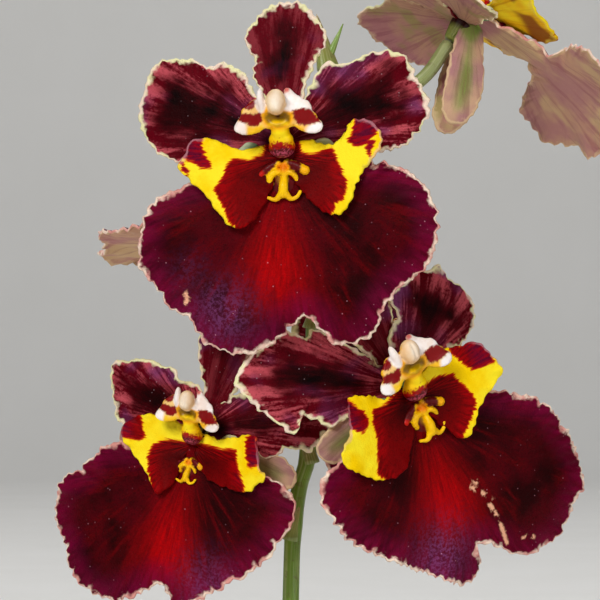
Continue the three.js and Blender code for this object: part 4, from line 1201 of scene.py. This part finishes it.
def hub_sheet():
    """The green swollen joint behind the petals, where the stalk comes in."""
    bpy.ops.mesh.primitive_cylinder_add(vertices=24, radius=1.4, depth=HUB_DEPTH - 0.2,
                                        location=(0, 0, TEPAL_LAYER - HUB_DEPTH / 2 - 0.1))
    hub = bpy.context.object
    edit_mode(True)
    pick(hub, "faces", lambda face: face.normal.z < -0.9)
    bpy.ops.transform.resize(value=(0.6, 0.6, 1))
    bpy.ops.mesh.select_all(action="SELECT")
    bpy.ops.mesh.bevel(offset=0.3, segments=3)
    edit_mode(False)
    bpy.ops.object.transform_apply()
    modify(hub, "SUBSURF", levels=1, render_levels=1)
    sheet = hand_model_sheet(hub, 3)
    buried = np.clip((sheet["points"][:, 2:] - TEPAL_LAYER + 1.2) / 0.3, 0, 1)
    sheet["notes"]["tint"] = tone((128, 140, 70)) * (1 - buried) + tone((46, 2, 10)) * buried
    return sheet


LEFT_SCALE = [(-4.9, -1.3), (-4.3, -0.6), (-3.6, -0.15), (-2.9, -0.25), (-2.3, -0.65), (-1.8, -1.2), (-3, -2)]
RIGHT_SCALE = [(2.6, -1), (2.9, -0.3), (3.5, 0.15), (4.2, 0.25), (4.8, 0), (5.2, -0.6), (4, -1.6)]


def scale_height(x, y, reach):
    return 0.35 + 0.08 * np.abs(x) - 0.25 * reach


def scale_sheet(outline, tint, margin_tint, spacing, seed):
    """A small smooth green scale with a paler margin."""
    scale = petal_sheet(outline, scale_height, spacing * 0.6, seed, (4, 4), crimp=0.03, frill=0.05)
    share = np.clip(scale["notes"]["rim"] / 0.5, 0, 1)[:, None]
    scale["notes"] = {"tint": tone(tint) * share + tone(margin_tint) * (1 - share)}
    return scale


# Blooms
def lip_disc(shape, spacing, seed):
    """The broad lip with its marks: the red down the middle, its own colour with painted light on the raised
    middle, the patches of painted lilac sheen and the pale scars.
    """
    disc = petal_sheet(shape["lip"], lip_height, spacing, seed, (0, 1), crimp=0.2, frill=0.26)
    plan = disc["notes"]["place"][:, :2]
    drop = -plan[:, 1]
    # The red middle: the lip's own red, with painted light along the raised middle
    glow = np.exp(-((plan[:, 0] + 0.6) / (1.3 + 0.13 * drop)) ** 2)
    glow *= (0.3 + 0.6 * np.clip((drop - 6) / 6, 0, 1)) * np.clip((18.5 - drop) / 5, 0, 1)
    disc["notes"]["glow"] = glow
    # Where the painted lilac sheen lies
    haze = np.zeros(len(plan))
    for x, y, spread, strength in shape["haze"]:
        haze = np.maximum(haze, strength * np.exp(-((plan - (x, y)) ** 2).sum(axis=1) / spread ** 2))
    disc["notes"]["haze"] = haze
    scar = np.full(len(plan), 9.0)
    for line in shape["scars"]:
        scar = np.minimum(scar, line_distance(plan, line))
    disc["notes"]["scar"] = scar
    return disc


def ear_sheet(shape, side, spacing, seed):
    ear = petal_sheet(shape[side + "_ear"], ear_height, spacing * 0.8, seed, (2, 3), crimp=0.1, frill=0.14)
    plan = ear["notes"]["place"][:, :2]
    ear["notes"]["mark"] = np.max([inside_depth(plan, outline) for outline in shape["ear_marks"]], axis=0)
    return ear


def shrunk(factor, fixed_point):
    """A change of size that leaves one point where it is."""
    centre = Matrix.Translation(fixed_point)
    return centre @ Matrix.Scale(factor, 4) @ centre.inverted()


def make_bloom(bloom, column, callus, hub, seed):
    shape, spacing, name = bloom["shape"], bloom["spacing"], bloom["name"]
    place = bloom_place(bloom)
    dorsal = petal_sheet(shape["dorsal"], dorsal_height, spacing, seed, (0, 1))
    dorsal["notes"]["glow"] = np.full(len(dorsal["points"]), 0.9)
    tepals = [
        dorsal,
        petal_sheet(shape["left_petal"], reflexed, spacing, seed + 1, (0, 1)),
        petal_sheet(shape["right_petal"], reflexed, spacing, seed + 2, (0, 1)),
        side_sepal(shape, 1, spacing, seed + 3, (2, 1)),
        side_sepal(shape, -1, spacing, seed + 4, (2, 1)),
        hub,
    ]
    lip = [
        lip_disc(shape, spacing, seed + 5),
        ear_sheet(shape, "left", spacing, seed + 6),
        ear_sheet(shape, "right", spacing, seed + 7),
        moved(callus, shrunk(bloom.get("callus_size", 1), (0, -5, 1.1))),
        scale_sheet(LEFT_SCALE, (124, 154, 112), (196, 206, 170), spacing, seed + 8),
        scale_sheet(RIGHT_SCALE, (188, 198, 126), (224, 218, 168), spacing, seed + 9),
    ]
    smaller = moved(column, shrunk(bloom.get("column_size", 1), (0, -0.6, 1)))
    for sheets, materials, slot, ending, node in (
            (tepals, [TEPAL_FRONT, TEPAL_BACK, SEPAL, COLUMN_FLESH], "tepal", "_petals", "_tepals"),
            (lip, [LIP_FRONT, LIP_BACK, EAR_FRONT, EAR_BACK, CALLUS_FLESH], "lip", "_lip_and_ears", "_lip"),
            ([smaller], [COLUMN_FLESH], "column", "_column_and_wings", "_column")):
        finished_piece(name + ending, [moved(sheet, place) for sheet in sheets], materials, slot, name + node)


# Stem, stalks and bracts
STEM_LINE = spline(STEM_ROUTE, False)


def stem_point(height):
    return np.array([np.interp(height, STEM_LINE[:, 2], STEM_LINE[:, 0]),
                     np.interp(height, STEM_LINE[:, 2], STEM_LINE[:, 1]), height])


def bract_sheet(height, reach, turn):
    """A pointed papery sheath that clasps a joint of the stem."""
    lean = Matrix.Rotation(math.radians(turn), 4, "Z") @ Matrix.Rotation(math.radians(14), 4, "X")
    steps, sides = 12, 16
    angles = np.arange(sides) / sides * 2 * np.pi
    rings, places = [], []
    for step in range(steps + 1):
        along = step / steps
        radius = 0.28 * reach * (1 - along) ** 0.85 * (1 + 0.03 * np.sin(angles * 5)) + 0.04
        rings.append(np.column_stack([circle(sides, radius) * (1, 0.6), np.full(sides, along * reach - 1)]))
        places.append(np.column_stack([circle(sides, 3), np.full(sides, step * 0.05)]))
    notes = {"tint": faded((132, 150, 66), (168, 140, 92), steps + 1, sides), "place": places}
    return moved(skin(rings, notes), Matrix.Translation(stem_point(height)) @ lean)


def stalk_sheet(bloom):
    face = np.array(bloom_place(bloom).to_3x3() @ Vector((0, 0, 1)))
    back = np.array(bloom["centre"]) + face * (TEPAL_LAYER - HUB_DEPTH - STALK_GAP)
    start = stem_point(bloom["node"])
    behind = back - face * STALK_BEND
    between = [np.array(place) for place in bloom.get("via", [start + (behind - start) * 0.5])]
    return sweep([start, *between, behind, back], lambda along: PEDICEL_RADIUS + 0.12 * along, 14, 30, 0.05,
                 ((122, 150, 52), (150, 158, 104)))


def stem_thickness(along):
    """Thinner upward, swollen at each joint and drawn out to a tip."""
    height = np.interp(along, [0, 1], [STEM_ROUTE[0][2], STEM_ROUTE[-1][2]])
    joints = [105, 150] + [bloom["node"] - 1 for bloom in BLOOMS]
    swell = sum(math.exp(-((height - joint) / 1.4) ** 2) for joint in joints)
    tip = 1 - 0.93 * max(0, (along - 0.962) / 0.038) ** 1.4
    return STEM_RADIUS * (1.1 - 0.42 * along) * (1 + 0.1 * min(swell, 1)) * tip


def make_flower_stem():
    sheets = [sweep(STEM_ROUTE, stem_thickness, 20, 260, 0.02, ((104, 132, 36), (112, 152, 34)))]
    for bloom in BLOOMS:
        turn = -70 if bloom["centre"][0] > 0 else 70
        sheets += [stalk_sheet(bloom), bract_sheet(bloom["node"] - 1, 5.5, turn)]
    sheets += [bract_sheet(*bract) for bract in STEM_BRACTS]
    finished_piece("spray_stem", sheets, [STEM_GREEN], "stem", "flower_stem")


# Leaves
LEAF_SECTION = [
    (1, 0), (0.95, 0.16), (0.78, 0.44), (0.42, 0.76), (0, 0.88), (-0.45, 0.96), (-0.84, 1), (-0.96, 0.94),
    (-1, 0.8), (-0.94, 0.62),
]


def leaf_sheet(fan, rank):
    """A folded sword leaf, keel outward, with a fine toothed edge."""
    side = 1 if rank % 2 == 0 else -1
    length = fan["leaves"][rank]
    sheath = SHEATH_STEP * (rank + 1)
    steps = int(length * 1.5)
    heading = math.radians(fan["heading"])
    outward = np.array([math.cos(heading) * side, math.sin(heading) * side, 0])
    lean = np.array([fan["lean"][0], fan["lean"][1], FAN_HEIGHT], float)
    lean /= np.linalg.norm(lean)
    upward = lean - outward * (lean @ outward)
    upward /= np.linalg.norm(upward)
    flat_side = np.cross(upward, outward)
    middle = np.array([fan["foot"][0], fan["foot"][1], LEAF_FOOT], float) + outward * SHEATH_SHIFT * rank
    rings, places, keels, shares, flushes = [], [], [], [], []
    upper = LEAF_SECTION
    lower = [(u, -v) for u, v in LEAF_SECTION[:0:-1]]
    for step in range(steps + 1):
        along = step / steps
        turn = math.radians(2 + 2 * rank + (12 + 15 * rank) * along)
        tangent = upward * math.cos(turn) + outward * math.sin(turn)
        across = outward * math.cos(turn) - upward * math.sin(turn)
        if step:
            middle = middle + tangent * length / steps
        swell = 0.56 + 0.44 * min(1, along * 2.5)
        taper = max(0, 1 - along ** 3.2) ** 0.8
        half_width = LEAF_WIDTH / 2 * swell * taper + LEAF_EDGE * (1 - 0.8 * along ** 8)
        share = min(1, max(0, (along * length - 12) / 22))
        share = share * share * (3 - 2 * share)
        thick = (sheath + (LEAF_THICKNESS - sheath) * share) * (1 - 0.5 * along * along)
        half_thick = thick / 2 * (1 - 0.6 * along ** 10)
        groove = -1 + 0.5 * (1 - along)
        section = upper + [((-0.94 + groove) / 2, 0.3), (groove, 0), ((-0.94 + groove) / 2, -0.3)] + lower
        tooth = 1 + 0.02 * (step % 2) * (along > 0.15)
        shape = [(u * half_width * (tooth if u < -0.8 else 1), v * half_thick) for u, v in section]
        ring = np.array([middle + across * u + flat_side * v for u, v in shape])
        if step == 0:
            ring[:, 2] = LEAF_FOOT
        rings.append(ring)
        places.append([(u, v, along * length) for u, v in shape])
        keels.append([half_width - u for u, v in shape])
        shares.append([along] * len(shape))
        flushes.append([max(0, -u / max(half_width, 0.1)) for u, v in shape])
    return skin(rings, {"place": places, "rim": keels, "glow": shares, "haze": flushes})


def make_leaves():
    for fan in FANS:
        for rank in range(len(fan["leaves"])):
            node = f"{fan['name']}_leaf_{rank + 1}"
            finished_piece(node + "_blade", [leaf_sheet(fan, rank)], [LEAF_GREEN], "leaf", node)


# Roots
def root_thickness(along):
    return ROOT_RADIUS * (1 - 0.3 * along) * (1 - 0.75 * along ** 40)


def make_roots():
    rhizome = [(fan["foot"][0], fan["foot"][1], RHIZOME_HEIGHT) for fan in FANS]
    sheets = [sweep(rhizome, lambda along: RHIZOME_RADIUS, 16, 40, 0.06)]
    sheets[0]["notes"]["glow"][:] = 0
    for route in ROOT_ROUTES:
        sheets.append(sweep(route, root_thickness, 14, 110, 0.04))
    finished_piece("silver_roots", sheets, [ROOT_SILVER], "root", "rhizome_roots")


# Bark
def chip_models(count):
    """A few chips broken from bark: a block cut up, knocked about and worn at its edges."""
    chips = []
    for number in range(count):
        bpy.ops.mesh.primitive_cube_add(size=1, location=(0, 0, 0))
        chip = bpy.context.object
        edit_mode(True)
        bpy.ops.mesh.select_all(action="SELECT")
        bpy.ops.mesh.subdivide(number_cuts=3)
        bpy.ops.transform.vertex_random(offset=0.07, seed=number)
        edit_mode(False)
        for vertex in chip.data.vertices:
            worn = 1 - 0.16 * max(0, vertex.co.length - 0.55)
            bump = noise.noise(vertex.co * 2.2 + Vector((number * 5, 0, 0)))
            vertex.co = vertex.co * (worn + 0.16 * bump)
        chips.append(hand_model_sheet(chip))
    return chips


def well_radius(height):
    share = (height - POT_FLOOR) / (POT_HEIGHT - POT_FLOOR)
    return WELL_RADIUS + share * (MOUTH_RADIUS - WELL_RADIUS) - BARK_GAP


def bark_bed():
    """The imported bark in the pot: a tapered plug whose top is inset ring by ring and roughened."""
    low = POT_FLOOR + BARK_GAP
    depth = BARK_TOP - low
    bpy.ops.mesh.primitive_cylinder_add(vertices=72, radius=well_radius(BARK_TOP), depth=depth,
                                        location=(0, 0, low + depth / 2))
    bed = bpy.context.object
    edit_mode(True)
    pick(bed, "faces", lambda face: face.normal.z < -0.9)
    shrink = well_radius(low) / well_radius(BARK_TOP)
    bpy.ops.transform.resize(value=(shrink, shrink, 1))
    pick(bed, "faces", lambda face: face.normal.z > 0.9)
    for _ in range(16):
        bpy.ops.mesh.inset(thickness=1.55)
    edit_mode(False)
    bpy.ops.object.transform_apply()
    sheet = hand_model_sheet(bed)
    points = sheet["points"]
    for point in points:
        if point[2] > BARK_TOP - 0.1:
            point[2] += noise.noise(Vector(point) * 0.35) * 1.1 - 0.5
    sheet["notes"]["tint"] = np.tile(tone((92, 62, 44)), (len(points), 1))
    return sheet


def clear_of_growth(x, y, margin):
    """True where a chip misses the fans, the stem and the roots."""
    for fan in FANS:
        turn = math.radians(-fan["heading"])
        across, along = x - fan["foot"][0], y - fan["foot"][1]
        u = across * math.cos(turn) - along * math.sin(turn)
        v = across * math.sin(turn) + along * math.cos(turn)
        half_length = 4.6 + SHEATH_SHIFT * len(fan["leaves"]) + margin
        half_depth = 1.4 + SHEATH_STEP * len(fan["leaves"]) / 2 + margin
        if (u / half_length) ** 2 + (v / half_depth) ** 2 < 1:
            return False
    if math.hypot(x - STEM_ROUTE[0][0], y - STEM_ROUTE[0][1]) < 2.4 + margin:
        return False
    for route in ROOT_ROUTES:
        line = spline(route, False)[::6]
        near = line[(line[:, 2] > 47) & (line[:, 2] < 57.5)]
        if len(near) and np.hypot(near[:, 0] - x, near[:, 1] - y).min() < 1.6 + margin:
            return False
    return True


CHIP_KINDS = 6
CHIP_COUNT = 330
CHIP_REACH = 25.2
CHIP_LIMIT = 27
CHIP_BROWNS = [(118, 78, 52), (96, 60, 40), (142, 98, 66), (84, 54, 38), (160, 118, 84), (108, 72, 54)]


def make_bark():
    chips = chip_models(CHIP_KINDS)
    sheets = [bark_bed()]
    golden_angle = math.pi * (3 - math.sqrt(5))
    for number in range(CHIP_COUNT):
        reach = CHIP_REACH * math.sqrt((number + 0.5) / CHIP_COUNT)
        x = reach * math.cos(number * golden_angle)
        y = reach * math.sin(number * golden_angle)
        scale, rise = (1, 0.5) if number % 3 == 0 else (0.6, 0.9)
        size = np.array([draw.uniform(4.5, 7.5), draw.uniform(3, 4.6), draw.uniform(1.6, 2.6)]) * scale
        lift = draw.uniform(-0.3, 1.4) + rise
        turns = (draw.uniform(-0.5, 0.5), draw.uniform(-0.5, 0.5), draw.uniform(0, 6.28))
        if not clear_of_growth(x, y, size[0] * 0.36) or math.hypot(x, y) + size[0] * 0.46 > CHIP_LIMIT:
            continue
        matrix = Matrix.Translation((x, y, BARK_TOP + lift))
        for axis, turn in zip("ZYX", reversed(turns)):
            matrix = matrix @ Matrix.Rotation(turn, 4, axis)
        chip = moved(chips[number % CHIP_KINDS], matrix @ Matrix.Diagonal((*size, 1)))
        brown = tone(CHIP_BROWNS[number % len(CHIP_BROWNS)])
        chip["notes"] = {"tint": np.tile(brown, (len(chip["points"]), 1))}
        sheets.append(chip)
    finished_piece("bark_mix", sheets, [BARK_BROWN], "bark", "bark")


# Pot
def turned_profile():
    """Radius and height of the rings that the pot is drawn through: wall, rim and inside."""
    rim_foot = POT_HEIGHT - POT_RIM_HEIGHT
    wall = np.linspace((POT_FOOT_RADIUS, 1), (POT_RADIUS - 2.8, rim_foot - 1), 9).tolist()
    rim = [(POT_RADIUS - 0.8, rim_foot), (POT_RADIUS - 0.55, rim_foot + 4), (POT_RADIUS - 0.2, rim_foot + 8),
           (POT_RADIUS, POT_HEIGHT - 1.2), (POT_RADIUS - 1, POT_HEIGHT), (MOUTH_RADIUS + 0.8, POT_HEIGHT),
           (MOUTH_RADIUS, POT_HEIGHT - 0.6)]
    floor, mouth = np.array((WELL_RADIUS, POT_FLOOR)), np.array((MOUTH_RADIUS, POT_HEIGHT - 0.6))
    well = np.linspace(floor + (mouth - floor) * 0.85, floor, 6).tolist()
    return wall + rim + well


def drill_drain(pot, quarter):
    turn = math.radians(quarter)
    bpy.ops.mesh.primitive_cylinder_add(
        vertices=32, radius=DRAIN_RADIUS * MM, depth=POT_FLOOR * 3 * MM,
        location=(DRAIN_CIRCLE * math.cos(turn) * MM, DRAIN_CIRCLE * math.sin(turn) * MM, 0))
    drill = bpy.context.object
    select_only([pot])
    modify(pot, "BOOLEAN", object=drill, operation="DIFFERENCE", solver="EXACT")
    bpy.data.objects.remove(drill)


def make_pot():
    """Thrown from a ring: drawn up the wall, over the rim and down the inside, then drilled."""
    radius, height = POT_FOOT_RADIUS - 1, 0
    bpy.ops.mesh.primitive_circle_add(vertices=128, radius=radius * MM, location=(0, 0, 0))
    clay_pot = bpy.context.object
    clay_pot.name = "clay_pot"
    edit_mode(True)
    bpy.ops.mesh.select_all(action="SELECT")
    for next_radius, next_height in turned_profile():
        step = (0, 0, (next_height - height) * MM)
        bpy.ops.mesh.extrude_region_move(TRANSFORM_OT_translate={"value": step})
        grow = next_radius / radius
        bpy.ops.transform.resize(value=(grow, grow, 1), center_override=(0, 0, next_height * MM))
        radius, height = next_radius, next_height
    bpy.ops.mesh.edge_face_add()
    bpy.ops.mesh.select_all(action="DESELECT")
    pick(clay_pot, "edges", lambda edge: edge.is_boundary)
    bpy.ops.mesh.edge_face_add()
    bpy.ops.mesh.select_all(action="SELECT")
    bpy.ops.mesh.normals_make_consistent(inside=False)
    edit_mode(False)
    for quarter in (45, 135, 225, 315):
        drill_drain(clay_pot, quarter)
    modify(clay_pot, "BEVEL", width=0.4 * MM, segments=3, limit_method="ANGLE", angle_limit=math.radians(30))
    bpy.ops.object.shade_smooth_by_angle(angle=math.radians(40))
    for vertex in clay_pot.data.vertices:
        spread = vertex.co.to_2d().length
        if spread > WELL_RADIUS * MM:
            uneven = noise.noise(vertex.co / MM * 0.05) * 0.16 + noise.noise(vertex.co / MM * 0.4) * 0.05
            vertex.co.xy *= 1 + (uneven - 0.1) * MM / spread
    clay_pot.data.materials.append(FIRED_CLAY)
    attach(clay_pot, "root")
    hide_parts("pot")


# Floor, backdrop and lights
PAPER_SIZE = 14
WALL_PLACE = 4.4
WALL_HEIGHT = 6
PAPER_BEND = 1.8


def make_studio():
    """A sheet of paper that lies under the pot and curves up behind it."""
    bpy.ops.mesh.primitive_plane_add(size=PAPER_SIZE, location=(0, 0, 0))
    paper = bpy.context.object
    paper.name = "studio_sheet"
    edit_mode(True)
    pick(paper, "edges", lambda edge: all(vertex.co.y > WALL_PLACE for vertex in edge.verts))
    bpy.ops.transform.translate(value=(0, WALL_PLACE - PAPER_SIZE / 2, 0))
    bpy.ops.mesh.extrude_region_move(TRANSFORM_OT_translate={"value": (0, 0, WALL_HEIGHT)})
    bpy.ops.mesh.select_all(action="DESELECT")
    pick(paper, "edges", lambda edge: all(vertex.co.z < 0.01 and vertex.co.y > 0 for vertex in edge.verts))
    bpy.ops.mesh.bevel(offset=PAPER_BEND, segments=24)
    edit_mode(False)
    bpy.ops.object.shade_smooth()
    paper.data.materials.append(STUDIO_PAPER)


# Place, aim, size and power of each softbox: key, fill, top from behind, and one on the backdrop
SOFTBOXES = [
    ((-0.45, -0.9, 0.8), (0, 0, 0.2), 0.4, 9.5), ((0.75, -0.7, 0.4), (0, 0, 0.2), 0.6, 3),
    ((0.1, 0.6, 0.9), (0, 0, 0.15), 0.6, 5), ((0, 1.6, 2.4), (0, 4.2, 0.4), 2, 56),
]


def make_lights():
    for place, aim, size, power in SOFTBOXES:
        turn = (Vector(aim) - Vector(place)).to_track_quat("-Z", "Y").to_euler()
        bpy.ops.object.light_add(type="AREA", location=place, rotation=turn)
        bpy.context.object.data.size = size
        bpy.context.object.data.energy = power
    world = bpy.context.scene.world or bpy.data.worlds.new("studio")
    bpy.context.scene.world = world
    world.use_nodes = True
    plug(world.node_tree.nodes["Background"], {"Color": (0.95, 0.97, 1, 1), "Strength": 0.62})


shared_sheets = [column_sheet(), callus_sheet(), hub_sheet()]
for order, bloom in enumerate(BLOOMS):
    make_bloom(bloom, *shared_sheets, 11 + order * 10)
make_flower_stem()
make_leaves()
make_roots()
make_bark()
make_pot()
make_studio()
make_lights()
